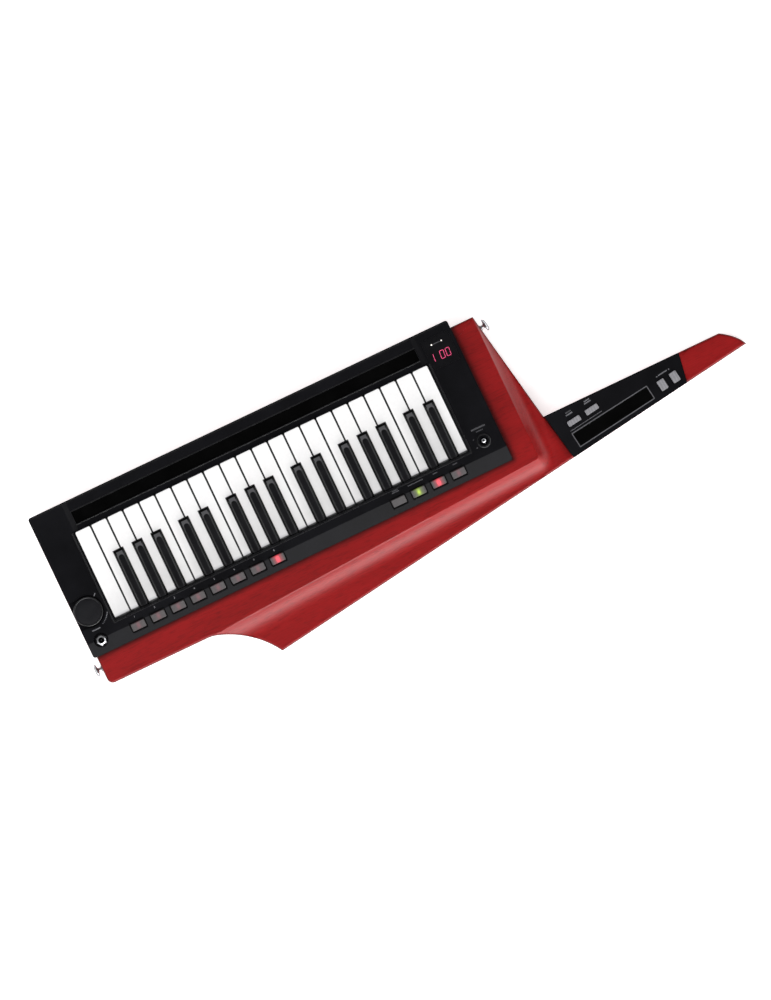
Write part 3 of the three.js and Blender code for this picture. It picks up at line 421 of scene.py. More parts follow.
def piece(name, grid, finish, wrap=(True, False), caps=(), faces=None, slot="black_case_plastic",
          body="body", replaces=(), turn=None, sharp=35):
    """Makes one object of a grid of points in millimetres, wrapped along or across, and closed by
    caps over whole rows or columns. Doubled points are merged and the faces turned outwards. turn
    is a 4 x 4 matrix, in millimetres."""
    flat = np.reshape(grid, (-1, 3))
    if turn is not None:
        matrix = np.array(turn)
        flat = flat @ matrix[:3, :3].T + matrix[:3, 3]
    numbers = np.arange(len(flat)).reshape(np.shape(grid)[:-1])
    if faces is None:
        faces = quads(*numbers.shape, *wrap)
    closing = [numbers[cap].tolist() for cap in caps]
    mesh = bpy.data.meshes.new(name)
    mesh.from_pydata((flat * MM + PLACE).tolist(), [], faces.tolist() + closing)
    work = bmesh.new()
    work.from_mesh(mesh)
    bmesh.ops.remove_doubles(work, verts=work.verts, dist=2e-7)
    bmesh.ops.recalc_face_normals(work, faces=work.faces)
    work.to_mesh(mesh)
    work.free()
    mesh.polygons.foreach_set("use_smooth", np.ones(len(mesh.polygons), bool))
    mesh.set_sharp_from_angle(angle=math.radians(sharp))
    return finished(name, mesh, finish, body, replaces)


def store(made, name, values):
    """Stores a number or a vector for each point of a piece, for its material to read."""
    kind, field = ("FLOAT", "value") if values.ndim == 1 else ("FLOAT_VECTOR", "vector")
    stored = made.data.attributes.new(name, kind, "POINT")
    stored.data.foreach_set(field, values.astype(np.float32).ravel())


def drawn_points(made):
    """A piece's points in millimetres from the case's corner."""
    points = np.empty(len(made.data.vertices) * 3)
    made.data.vertices.foreach_get("co", points)
    return (points.reshape(-1, 3) - PLACE) / MM


def unit(vectors):
    return vectors / np.linalg.norm(vectors, axis=-1, keepdims=True)


def mitres(outline):
    """Inward step at each point of a closed outline that runs anticlockwise: the sum of the two
    edges' unit normals over one plus their dot product, so that a step of one moves both edges by
    one."""
    ahead = unit(np.roll(outline, -1, axis=0) - outline)
    normal = np.stack([-ahead[:, 1], ahead[:, 0]], 1)
    before = np.roll(normal, 1, axis=0)
    return (normal + before) / (1 + np.sum(normal * before, axis=1, keepdims=True))


def around(outline, profile, inward=None):
    """Carries a profile of (inset, z) along a closed outline: point (i, j) is outline point i moved
    inwards by inset j, at height z j."""
    steps = mitres(outline) if inward is None else inward
    profile = np.asarray(profile, float)
    flat = outline[:, None, :] + steps[:, None, :] * profile[None, :, 0, None]
    heights = np.broadcast_to(profile[None, :, 1, None], flat.shape[:2] + (1,))
    return np.concatenate([flat, heights], 2)


def arc(centre, radius, start, end, count):
    """Points along an arc, angles in degrees."""
    angles = np.radians(np.linspace(start, end, count))
    return np.array(centre) + radius * np.stack([np.cos(angles), np.sin(angles)], 1)


def line(start, end, count, ends=(True, True)):
    """Evenly spaced points of a straight line, with or without its first and last point."""
    shares = np.linspace(0, 1, count)[(0 if ends[0] else 1):(count if ends[1] else count - 1), None]
    return np.array(start) * (1 - shares) + np.array(end) * shares


def rounded(x0, x1, y0, y1, radius, steps=6):
    """Outline of a rectangle with round corners, anticlockwise from its near right corner."""
    near, far, left, right = y0 + radius, y1 - radius, x0 + radius, x1 - radius
    corners = ((right, near, -90), (right, far, 0), (left, far, 90), (left, near, 180))
    return np.concatenate([arc((x, y), radius, angle, angle + 90, steps) for x, y, angle in corners])


def rectangle(length, width, radius, steps=6):
    """The same round the origin."""
    return rounded(-length / 2, length / 2, -width / 2, width / 2, radius, steps)


def quarter(radius, steps):
    """A quarter round from a wall in over its top: inset r(1 - cos a), height drop r(1 - sin a)."""
    angles = np.linspace(0, math.pi / 2, steps + 1)
    return radius * np.stack([1 - np.cos(angles), 1 - np.sin(angles)], 1)


def edge_profile(low, high, radius, steps=4):
    """Profile of a plate from the foot of its wall up and over its rounded top rim."""
    top = [0, high] + quarter(radius, steps) * [1, -1]
    return np.concatenate([[[0, low]], top, [[radius + 0.15, high]]])


def slab(name, outline, profile, finish, inward=None, **options):
    """A closed plate: the profile carried round the outline, with flat faces over its first and
    last rings."""
    return piece(name, around(outline, profile, inward), finish, caps=(np.s_[:, 0], np.s_[:, -1]), **options)


def turned(name, profile, sides, finish, wrap=(True, False), **options):
    """A profile of (radius, z) turned about Z: point (i, j) is (r j cos a i, r j sin a i, z j). It
    starts and ends on the axis, where its points are merged, or is closed. It may be given for
    each side."""
    profile = np.broadcast_to(profile, (sides, *np.shape(profile)[-2:]))
    angles = np.arange(sides) * 2 * math.pi / sides
    spokes = np.stack([np.cos(angles), np.sin(angles)], 1)
    grid = np.concatenate([spokes[:, None] * profile[:, :, :1], profile[:, :, 1:]], 2)
    return piece(name, grid, finish, wrap, **options)


def at(x, y, z=0.0, angle=0.0, tilt=0.0):
    """The place of a piece drawn around the origin: turned about Z, tilted about X, then moved."""
    return Matrix.Translation((x, y, z)) @ Matrix.Rotation(angle, 4, "Z") @ Matrix.Rotation(tilt, 4, "X")


# The wooden body

# Seen from above, the waist is an entry arc that runs over into a hollow one, which ends in the horn.
# From there the neck's near edge runs straight to the tip. A cove with an arc for its section lies
# along the near edge and, narrower, along the side between the shoulder and the neck's foot.
LEFT, NEAR, FAR = 3.5, -35.2, 169.4
NEAR_CORNER = 7.0
WAIST_START = 128.8
ENTRY_RADIUS = 40.0
ENTRY_ANGLE = math.radians(19)
WAIST_RADIUS = 112.0
WAIST_ANGLE = math.radians(59)
ENTRY = np.array([WAIST_START, NEAR - ENTRY_RADIUS])
WAIST = ENTRY + (ENTRY_RADIUS - WAIST_RADIUS) * np.array([math.sin(ENTRY_ANGLE), math.cos(ENTRY_ANGLE)])
HORN = WAIST + WAIST_RADIUS * np.array([math.sin(WAIST_ANGLE), math.cos(WAIST_ANGLE)])
TIP = np.array([840.9, 5.2])
NECK_FAR = 29.6
TIP_FAR = np.array([816.6, NECK_FAR])
TIP_BULGE = 4.3
TIP_STRAIGHT_SHARE = 0.35
FOOT = np.array([591.6, NECK_FAR])
SHOULDER = np.array([566.7, FAR])
EDGE = 3.0
FINE_EDGE = 0.15
# A ring of points this far inside the rounded edge keeps its shading apart from the top's.
SUPPORT = 0.5
CREASE_X = 566.4
CREASE_START_Y = -12.2
CORNER_RADIUS = 5.0
COVE_RADIUS = 34.0
COVE_FLOOR = WING_TOP - 0.1
COVE_ANGLE = math.acos(1 - (RAISED_TOP - COVE_FLOOR) / COVE_RADIUS)
COVE_NEAR = 22.0
COVE_SIDE = 18.0
COVE_WIDE = COVE_RADIUS * math.sin(COVE_ANGLE)
COVE_SQUEEZE = COVE_SIDE / COVE_NEAR
COVE_STEPS = 16
CREASE_CORNER = np.array([CREASE_X - CORNER_RADIUS * COVE_SQUEEZE, -7.2])
CREASE_SLOPE = math.tan(math.radians(3.1))
COVER_LINE = np.array([592.2, NECK_FAR])
COVER_LEAN = math.tan(math.radians(10.3))
END_LINE = np.array([765.0, NECK_FAR])
END_LEAN = math.tan(math.radians(9.2))
BED = 23.7
REBATE_WIDTH, REBATE_DEPTH = 8.3, 3.3
NEAR_SLOPE = (TIP[1] - HORN[1]) / (TIP[0] - HORN[0])
NEAR_NORMAL = unit(np.array([-NEAR_SLOPE, 1.0]))
WOOD = {"finish": RED_WOOD, "slot": "red_lacquered_wood"}


def near_edge_y(x):
    """Y of the neck's long slanting edge at x."""
    return TIP[1] - (TIP[0] - x) * NEAR_SLOPE


def cross_near(line_top, lean):
    """Where a line that starts at the far edge and leans by so much per mm meets the near edge: the
    solution of x = x0 + lean (y0 - y) and y = y(x)."""
    y = (near_edge_y(line_top[0]) + lean * NEAR_SLOPE * line_top[1]) / (1 + lean * NEAR_SLOPE)
    return np.array([line_top[0] + lean * (line_top[1] - y), y])


ROOT = cross_near(COVER_LINE, COVER_LEAN)
END_NEAR = cross_near(END_LINE, -END_LEAN)


def cove_arc(lean):
    """Height of the cove's arc: z = floor + R (1 - cos lean)."""
    return COVE_FLOOR + COVE_RADIUS * (1 - np.cos(lean))


def cove_height(share):
    """Height at a share of the cove's width from the crease, where sin lean = (1 - share) sin A.
    Above the crease it is the raised top, past the cove's foot far below."""
    lean = np.arcsin(np.clip((1 - share) * math.sin(COVE_ANGLE), 0, 1))
    return np.where(share <= 0, RAISED_TOP, np.where(share >= 1, -1.0, cove_arc(lean)))


def window_ring(place, wider):
    """A point of the tray window's outline for a place from 0 to 8: even steps are the round corners
    from the near left one on, odd steps the sides between them."""
    left, right, near, far, radius = 36.0 - wider, 502.0 + wider, 18.0 - wider, 144.0 + wider, 6.0
    centres = np.array([[left, near], [right, near], [right, far], [left, far]])
    corner = np.minimum((place // 2).astype(int), 3)
    inside = place - 2 * corner
    angle = math.pi / 2 * (2 + corner + np.minimum(inside, 1))
    spoke = radius * np.stack([np.cos(angle), np.sin(angle)], 1)
    along = np.clip(inside - 1, 0, 1)[:, None]
    return centres[corner] * (1 - along) + centres[(corner + 1) % 4] * along + spoke


# The outline's parts, by number, that the cove treats in their own ways
ENTRY_PART, NECK_PART, CORNER_PART, ROOT_PART, SIDE_PART = 2, 4, 5, 6, 7


def body_stations():
    """The body's outline with, for each point, the number of its part, its place on the window's
    outline, the crease point above it, the cove's width vector and whether a cove lies there."""
    near_x = np.linspace(HORN[0], CREASE_CORNER[0], 110)[1:]
    far_right, far_left, left_far = (502, FAR), (36, FAR), (LEFT, 144)
    open_line = (False, False)
    after = (False, True)
    parts = [
        # outline points, window place from and to
        (arc((LEFT + NEAR_CORNER, NEAR + NEAR_CORNER), NEAR_CORNER, 180, 270, 9), 0.0, 1.0),
        (line((LEFT + NEAR_CORNER, NEAR), (WAIST_START, NEAR), 24, open_line), 1.0, 1.22),
        (arc(ENTRY, ENTRY_RADIUS, 90, 71, 24)[:-1], 1.22, 1.25),
        # Three points before the horn are left out, as its edge's round would fold over them.
        (np.delete(arc(WAIST, WAIST_RADIUS, 71, 31, 80), [-4, -3, -2], axis=0), 1.25, 1.38),
        (np.stack([near_x, near_edge_y(near_x)], 1), 1.385, 2.0),
        (line((CREASE_CORNER[0], near_edge_y(CREASE_CORNER[0])), ROOT, 14, after), 2.05, 2.5),
        (line(ROOT + (FOOT - ROOT) * 0.06, FOOT, 16, (True, False)), 2.55, 3.0),
        (line(FOOT, SHOULDER, 60), 3.0, 3.95),
        (line(SHOULDER, far_right, 8, after), 4.0, 5.0),
        (line(far_right, far_left, 50, after), 5.02, 6.0),
        (line(far_left, (LEFT, FAR), 6, after), 6.2, 6.6),
        (line((LEFT, FAR), left_far, 5, after), 6.7, 7.0),
        (line(left_far, (LEFT, NEAR + NEAR_CORNER), 20, open_line), 7.02, 7.98),
    ]
    outline = np.concatenate([points for points, _, _ in parts])
    ring_place = np.concatenate([np.linspace(a, b, len(points)) for points, a, b in parts])
    part = np.concatenate([np.full(len(points), i) for i, (points, _, _) in enumerate(parts)])
    # The cove's width is drawn through the point where the rounded edge begins, inside the outline.
    x, y = (outline + mitres(outline) * (EDGE + SUPPORT)).T
    # Round the horn these points turn back, so they are spread to run on along the crease.
    near = (part >= ENTRY_PART) & (part <= NECK_PART)
    ahead, back = np.maximum.accumulate(x[near]), np.minimum.accumulate(x[near][::-1])[::-1]
    x[near] = (ahead + back) / 2 + np.linspace(0, 0.5, near.sum())

    crease = np.stack([x, CREASE_START_Y - (CREASE_CORNER[0] - x) * CREASE_SLOPE], 1)
    near_width = np.interp(x, [WAIST_START, CREASE_CORNER[0]], [COVE_WIDE, COVE_NEAR])
    width = np.stack([np.zeros_like(x), -near_width], 1)
    fan = np.isin(part, (CORNER_PART, ROOT_PART))
    swing = np.interp(np.cumsum(fan), [1, fan.sum()], [-math.pi / 2 + 0.04, -0.04])
    ellipse = np.stack([COVE_SQUEEZE * np.cos(swing), np.sin(swing)], 1)
    crease[fan] = (CREASE_CORNER + CORNER_RADIUS * ellipse)[fan]
    width[fan] = (COVE_NEAR * ellipse)[fan]
    side = part == SIDE_PART
    side_y = np.interp(y, [NECK_FAR, 70.0, FAR], [-6.5, 66.0, FAR])
    crease[side] = np.stack([np.full(side.sum(), CREASE_X), side_y[side]], 1)
    width[side] = (COVE_SIDE, 0.0)
    return outline, part, ring_place, crease, width, (part >= ENTRY_PART) & (part <= SIDE_PART)


def body_surface():
    """The main block: a closed profile carried round the outline. From the window's rim it runs over
    the raised top to the crease, down the cove's arc, over the wing, round the edge, down the wall,
    back under the flat back, round the tray's rebate and up the window's wall."""
    outline, part, ring_place, crease, width, coved = body_stations()
    fan = np.isin(part, (CORNER_PART, ROOT_PART))
    steps = mitres(outline)
    radius = np.where(part == ROOT_PART, FINE_EDGE, EDGE)
    along_root = unit(FOOT - ROOT)
    steps[np.flatnonzero(part == CORNER_PART)[-1]] = along_root / (along_root @ NEAR_NORMAL)

    def share_at(points):
        return np.sum((points - crease) * width, 1) / np.sum(width * width, 1)

    def top_at(points, drop):
        """The raised top or the cove, whichever is lower, but never below the wing."""
        cove = np.where(coved, cove_height(share_at(points)), RAISED_TOP)
        return np.maximum(np.minimum(RAISED_TOP - drop, np.where(fan, -1.0, cove)), WING_TOP - drop)

    support = outline + steps * (radius + SUPPORT)[:, None]
    reach = np.where(coved, share_at(support), -1.0)
    # In the fan round the crease's corner the cove ends at its foot or inside the near edge.
    crease_in, foot_in = [points[:, 1] - near_edge_y(points[:, 0]) - EDGE - 0.6
                          for points in (crease, crease + width)]
    reach[fan] = np.clip(crease_in / np.maximum(crease_in - foot_in, 1e-6), 0, 1.15)[fan]
    open_cove = reach > 0.03
    end_share = np.clip(reach - 0.02, 0.0, 1.0)
    end_lean = np.arcsin((1 - end_share) * math.sin(COVE_ANGLE))
    ring, rebate = window_ring(ring_place, 0.0), window_ring(ring_place, REBATE_WIDTH)

    # Where there is no cove, the stations lie along the straight way in, and gather at the edge near
    # the cove's ends, so that no long thin face joins the two.
    runs = np.linalg.norm(np.roll(outline, -1, axis=0) - outline, axis=1)
    along = np.concatenate([[0], np.cumsum(runs)[:-1]])
    gaps = np.abs(along[:, None] - along[None, open_cove])
    spread = np.clip(np.min(np.minimum(gaps, runs.sum() - gaps), axis=1) / 60, 0.02, 1)[:, None]
    stations = []

    def station(points, heights):
        stations.append(np.column_stack([points, np.broadcast_to(heights, len(outline))]))

    def pick(coved_points, plain_share):
        """The cove's own point, or one so far along the straight way in where there is no cove."""
        flat = support + (ring - support) * plain_share * spread
        return np.where(open_cove[:, None], coved_points, flat)

    station(ring, RAISED_TOP)
    # The crease is broken by a radius of about a millimetre, as sanding leaves it.
    for back, share, drop in ((2.2, 0.5, 0.0), (1.0, 0.46, 0.0), (0.2, 0.44, 0.16)):
        station(pick(crease - unit(width) * back, share), np.where(open_cove, RAISED_TOP - drop, RAISED_TOP))
    for k in range(1, COVE_STEPS + 1):
        lean = COVE_ANGLE + (end_lean - COVE_ANGLE) * k / COVE_STEPS
        share = 1 - np.sin(lean) / math.sin(COVE_ANGLE)
        points = pick(crease + width * share[:, None], 0.42 * (1 - k / (COVE_STEPS + 1)))
        station(points, np.where(open_cove, np.maximum(cove_arc(lean), WING_TOP), RAISED_TOP))
    flat_share = np.where(reach > 1.1, 0.03, 0.0)
    beyond = pick(crease + width * (end_share + flat_share)[:, None], 0.01)
    station(beyond, top_at(beyond, 0.0))
    station(support, top_at(support, 0.0))
    rounds = [(outline + steps * (radius * inset)[:, None], radius * drop) for inset, drop in quarter(1.0, 6)]
    for points, drop in rounds[::-1]:
        station(points, top_at(points, drop))
    wall_top = stations[-1][:, 2]
    for height in (wall_top - 0.4, wall_top - 4.0, EDGE + 0.4):
        station(outline, height)
    for points, height in rounds:
        station(points, height)
    for points, height in ((support, 0.0), (rebate, 0.0), (rebate, REBATE_DEPTH), (ring, REBATE_DEPTH)):
        station(points, height)
    return np.stack(stations, 1), wall_top


def mark_rim(made, outline, wall_tops):
    """Marks the rounded upper edge of the wood, by the distance from the outline's nearest edge: 0
    on top, 1 at the edge's lower end, and 0 again further down the wall."""
    points = drawn_points(made)
    step = np.roll(outline, -1, axis=0) - outline
    share = np.einsum("pek,ek->pe", points[:, None, :2] - outline[None], step) / np.sum(step * step, 1)
    closest = outline[None] + np.clip(share, 0, 1)[:, :, None] * step[None]
    away = np.min(np.linalg.norm(points[:, None, :2] - closest, axis=2), axis=1)
    rim = np.clip(1 - away / EDGE, 0, 1) ** 0.8
    nearest = np.argmin(np.linalg.norm(points[:, None, :2] - outline[None], axis=2), axis=1)
    store(made, "rim", np.where(points[:, 2] < wall_tops[nearest] - 2, 0.0, rim))


def round_profile(high, top_radius=EDGE):
    """Profile of a plate whose lower and upper rims are both rounded."""
    return np.concatenate([quarter(EDGE, 6)[::-1], [[0, high - top_radius - 4.0]],
                           edge_profile(0, high, top_radius, 6)[1:]])


def body_pieces():
    grid, wall_tops = body_surface()
    main = piece("wood_body_main", grid, wrap=RING, replaces=["wood_body"], sharp=40, **WOOD)
    outline = body_stations()[0]
    open_rim = outline[:, 0] < ROOT[0] - 1
    mark_rim(main, outline[open_rim], wall_tops[open_rim])

    # A tongue under the neck cover reaches into the main block and the neck's end and joins them.
    into, lean, clear = 6, 8, 0.05
    left, right = COVER_LINE[0] - into, END_LINE[0] + into
    near = [[x, near_edge_y(x) + clear] for x in (left + lean, right - lean)]
    tongue = np.array(near + [[right, NECK_FAR - clear], [left, NECK_FAR - clear]])
    slab("wood_neck_tongue", tongue, round_profile(BED, 0.2), **WOOD)

    # The neck's end: the slanting edge, the rounded tip and the far edge.
    share = np.linspace(0, 1, 20)[:, None]
    chord = unit(TIP_FAR - TIP)
    bend = (TIP + TIP_FAR) / 2 + TIP_BULGE * np.array([chord[1], -chord[0]])
    straight = TIP + (bend - TIP) * TIP_STRAIGHT_SHARE
    curve = (1 - share) ** 2 * straight + 2 * (1 - share) * share * bend + share ** 2 * TIP_FAR
    seam = line(END_LINE, END_NEAR, 6, (False, False))
    rim = np.concatenate([line(END_NEAR, TIP, 12), curve, line(TIP_FAR, END_LINE, 8, (False, False))])
    outline = np.concatenate([rim, [END_LINE], seam])
    # The seam under the cover isn't rounded, so its ends step in along it and the rest hardly at all.
    steps = mitres(outline)
    along = unit(END_LINE - END_NEAR)
    steps[0] = along / (along @ NEAR_NORMAL)
    steps[len(rim)] = -along / along[1]
    steps[len(rim) + 1:] *= 0.05
    end = slab("wood_neck_end", outline, round_profile(WING_TOP), inward=steps, **WOOD)
    mark_rim(end, rim, np.full(len(rim), WING_TOP - EDGE))


def strap_pins():
    """A screwed-on strap pin: foot, waisted stem and mushroom head, turned about its axis."""
    profile = [
        (0, -0.5), (3.6, -0.5), (3.9, -0.2), (3.9, 0.3), (3.6, 0.7), (2.8, 1.0), (2.5, 1.5), (2.4, 2.2),
        (2.4, 4.2), (2.6, 4.8), (3.4, 5.2), (5.6, 5.5), (7.1, 5.9), (7.6, 6.4), (7.6, 6.9), (7.3, 7.4),
        (6.6, 8.1), (5.6, 8.7), (4.7, 9.1), (4.4, 9.2), (4.2, 9.1), (3.9, 8.6), (3.5, 8.5), (3.2, 8.7),
        (2.6, 9.2), (2.3, 9.3), (0, 9.3),
    ]
    height, below_shoulder = 22.5, 15.7
    lean = -math.atan2(SHOULDER[0] - FOOT[0], FAR - NECK_FAR)
    places = {"tail_strap_pin": (LEFT, -14.2, math.pi),
              "neck_strap_pin": (SHOULDER[0] + below_shoulder * math.tan(lean), FAR - below_shoulder, lean)}
    for name, (x, y, angle) in places.items():
        turned(name, profile, 48, NICKEL, slot="bright_metal",
               turn=at(x, y, height, angle) @ Matrix.Rotation(math.pi / 2, 4, "Y"))


# CAD nodes that stay, and copies of the keys

def soften(node, width, finish):
    """Breaks the sharp edges of a CAD node that stays, as its mould does, and gives it its finish."""
    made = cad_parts[node]
    made.data.materials.clear()
    made.data.materials.append(finish)
    weld = made.modifiers.new("weld", "WELD")
    weld.merge_threshold = 2e-6
    flat = made.modifiers.new("flat_faces", "DECIMATE")
    flat.decimate_type = "DISSOLVE"
    flat.angle_limit = math.radians(0.5)
    edge = made.modifiers.new("broken_edges", "BEVEL")
    edge.width = width * MM
    edge.segments = 2
    edge.limit_method = "ANGLE"
    edge.angle_limit = math.radians(30)


def rounded_key(node, finish, radius, segments):
    """A copy of a CAD key, merged, whose outer edges round its flat top are turned to quarter rounds.
    It replaces the node."""
    top = span(node)[1][2] * MM
    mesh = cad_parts[node].data.copy()
    mesh.name = f"{node}_rounded"
    work = bmesh.new()
    work.from_mesh(mesh)
    bmesh.ops.remove_doubles(work, verts=work.verts, dist=2e-6)
    bmesh.ops.dissolve_limit(work, angle_limit=math.radians(0.5), verts=work.verts, edges=work.edges)
    edges = [e for e in work.edges if all(abs(v.co.z - top) < 0.01 * MM for v in e.verts)
             and len(e.link_faces) == 2 and e.calc_face_angle_signed(0.0) > 0.5]
    rounds = bmesh.ops.bevel(work, geom=edges, offset=radius * MM, segments=segments, profile=0.5,
                             affect="EDGES", clamp_overlap=False)["faces"]
    for face in work.faces:
        face.smooth = False
    for face in rounds:
        face.smooth = True
    work.to_mesh(mesh)
    work.free()
    return finished(f"{node}_rounded", mesh, finish, node, [node])


def kept_nodes():
    for node, width, finish in (("front_case", 0.45, CASE), ("rear_tray", 0.3, TRAY),
                                ("long_ribbon", 0.2, RIBBON), ("neck_cover", 0.4, CASE)):
        soften(node, width, finish)
    for i in range(22):
        rounded_key(f"white_key_{i + 1:02d}", WHITE_KEY, 0.7, 3)
    for i in range(15):
        node = f"black_key_{i + 1:02d}"
        made = rounded_key(node, BLACK_KEY, 0.35, 2)
        # Its material reads how far a point lies from the key's middle and from its front end.
        store(made, "from_front", (drawn_points(made) - [middle(node)[0], span(node)[1][1], 0]) * [1, -1, 1])


# Buttons

def button_cap(name, width, depth, flare, high, finish, turn):
    """A button's cap as one grid: a rounded rectangle's outline carried round the flared flange of
    its foot, up its wall, over its rim's quarter circle and in to its middle in even shares of the
    way. Its attribute from_middle holds each point's place on the cap in millimetres."""
    outline = rectangle(width, depth, 0.9, 5)
    foot = [(-flare, -4.0), (-flare, -2.8), (0.0, -2.8)]
    grid = around(outline, np.concatenate([foot, edge_profile(0, high, 0.5, 4)[1:]]))
    shares = np.linspace(1, 0, 10)[1:]
    inner = grid[:, -1:] * np.stack([shares, shares, np.ones_like(shares)], 1)
    made = piece(f"{name}_cap", np.concatenate([grid, inner], 1), finish, caps=(np.s_[:, 0],),
                 slot="grey_rubber", body=name, turn=turn, replaces=[name])
    back = np.array(turn.inverted())
    store(made, "from_middle", drawn_points(made) @ back[:3, :3].T + back[:3, 3])


def slope_buttons():
    lit = {"favorite_button_8": BUTTON_RED, "function_button_1": BUTTON_PLAIN,
           "function_button_2": BUTTON_GREEN, "function_button_3": BUTTON_RED}
    gap_shade = [(0.0, -0.1), (0.15, 0.05), (0.6, 0.09), (1.3, 0.05), (1.5, -0.1)]
    down_slope = 4.8
    for row, count in (("favorite_button", 8), ("function_button", 4)):
        for i in range(count):
            name = f"{row}_{i + 1}"
            slope = at(middle(name)[0], SLOPE_RUN, PANEL, tilt=SLOPE_ANGLE)
            turn = slope @ Matrix.Translation((0, -down_slope, 0))
            button_cap(name, 16.8, 9.6, 1.2, 0.8, lit.get(name, BUTTON_DIM), turn)
            # A thin black ring outlines the cap: painted shade for the dark gap round it.
            piece(f"{name}_gasket", around(rectangle(20.4, 13.0, 1.6, 5), gap_shade), SOCKET, RING,
                  slot="grey_rubber", turn=turn)


def neck_buttons():
    """The caps on the neck, each over a black mat in its pocket in the cover."""
    for row, length, width, pocket in (("neck_mode_button", 16.6, 6.5, (18.6, 8.6)),
                                       ("neck_value_button", 9.0, 12.8, (10.9, 14.9))):
        for i in range(2):
            name = f"{row}_{i + 1}"
            button_cap(name, length, width, 0.05, 1.0, BUTTON_NECK, at(*middle(name), COVER_TOP, NECK_ANGLE))
            slab(f"{name}_mat", rectangle(*pocket, 0.8), edge_profile(23.8, 24.6, 0.1, 1), SOCKET,
                 slot="grey_rubber", turn=at(*middle(name), 0, NECK_ANGLE))


# Display and ribbons

def display():
    slab("display_window", rounded(499.1, 533.3, 132.0, 168.5, 1.2),
         edge_profile(60.42, 60.95, 0.15, 2), SMOKED)
    lift, figures_y, lamps_y = 60.96, 145.4, 160.4
    half_wide, half_high, side, slant = 2.35, 4.65, 0.3, 0.08
    # The seven bars by number: top, upper left, upper right, middle, lower left, lower right and
    # bottom, each with its place and whether it stands upright.
    bars = {1: (0, 1, False), 2: (-1, 0.5, True), 3: (1, 0.5, True), 4: (0, 0, False),
            5: (-1, -0.5, True), 6: (1, -0.5, True), 7: (0, -1, False)}
    one, zero = (3, 6), (1, 2, 3, 5, 6, 7)
    for spot, (x, lit) in enumerate([(503.8, one), (516.6, zero), (523.9, zero)]):
        for k in lit:
            across, up, upright = bars[k]
            end = (half_high / 2 if upright else half_wide) - 0.15
            outline = np.array([[end, 0], [end - side, side], [side - end, side],
                                [-end, 0], [side - end, -side], [end - side, -side]])
            if upright:
                outline = outline[:, ::-1] * [-1, 1]
            outline += [across * half_wide, up * half_high]
            outline[:, 0] += outline[:, 1] * slant
            slab(f"display_figure_{spot + 1}_bar_{k}", outline, edge_profile(0.0, 0.03, 0.01, 1), SEGMENT,
                 turn=at(x, figures_y, lift))
    for i, (x, finish) in enumerate(((509.6, WHITE_LAMP), (522.2, DIM_LAMP))):
        turned(f"display_lamp_{i + 1}", [(0, 0), (0.85, 0), (0.85, 0.03), (0.6, 0.06), (0, 0.07)], 20, finish,
               turn=at(x, lamps_y, lift))


def ribbons():
    # Lips round both ribbons: the long one's catches the near light, the short one's is printed grey.
    lip = [(0.0, 0.0), (0.5, 0.35), (1.1, 0.5), (1.5, 0.35), (1.7, 0.0), (1.7, -0.6), (0.0, -0.6)]
    shelf, wider = SHELF - 0.1, 1.8
    low, high = span("long_ribbon")
    outline = rounded(low[0] - wider, high[0] + wider, low[1] - wider, high[1] + wider, 1.4)
    piece("long_ribbon_lip", around(outline, [(i, shelf + z) for i, z in lip]), LIP, RING)
    # The recess in the neck cover, on its own axes.
    recess = {"slot": "ribbon_sheet", "turn": at(665.05, -5.5, COVER_TOP, NECK_ANGLE)}
    length, width, rim = 103.9, 17.2, 1.1

    def wedge(inset, radius):
        """The recess's outline, its far side pushed out by 2 mm at the left end, falling to 1 mm at
        the right one."""
        outline = rectangle(length - 2 * inset, width - 2 * inset, radius)
        push = np.interp(outline[:, 0], [-length / 2, length / 2], [2.0, 1.0])
        outline[:, 1] += np.where(outline[:, 1] > 0, push, 0)
        return outline

    slab("short_ribbon", wedge(rim, 0.8), edge_profile(-0.78, 0.06, 0.1, 2), RIBBON, **recess)
    frame_profile = [(0.0, 0.05), (0.15, 0.2), (1.05, 0.2), (1.25, 0.05), (1.25, -0.78), (0.15, -0.78),
                     (0.0, -0.5)]
    piece("short_ribbon_frame", around(wedge(0, 1.0), frame_profile), FAINT_PRINT, RING, **recess)


def opening_rim():
    """The raised rim round three sides of the key opening, up to the shelf: a lip carried along an
    open path, with flat ends."""
    x0, x1, y0, y1, radius = 38.1, 499.4, 27.0, 141.9, 1.6
    path = np.concatenate([[[x0, y1]], arc((x0 + radius, y0 + radius), radius, 180, 270, 7),
                           arc((x1 - radius, y0 + radius), radius, 270, 360, 7), [[x1, y1]]])
    steps = mitres(path)
    steps[0], steps[-1] = (1, 0), (-1, 0)
    lip = [(0.0, 0.0), (0.25, 0.4), (0.75, 0.6), (1.2, 0.5), (1.6, 0.15), (3.0, 0.05), (3.15, -0.3),
           (3.15, -1.2), (0.0, -1.2)]
    grid = around(path, [(i, PANEL + z) for i, z in lip], steps)
    piece("key_opening_rim", grid, LIP, (False, True), caps=(0, -1))


# Printed marks

def bar(name, x, y, z, length, width, finish=PRINT, angle=0.0, height=0.06):
    """A thin printed bar with round ends."""
    slab(name, rectangle(length, width, width * 0.45, 4), edge_profile(0.01, height, 0.02, 1), finish,
         turn=at(x, y, z, angle))


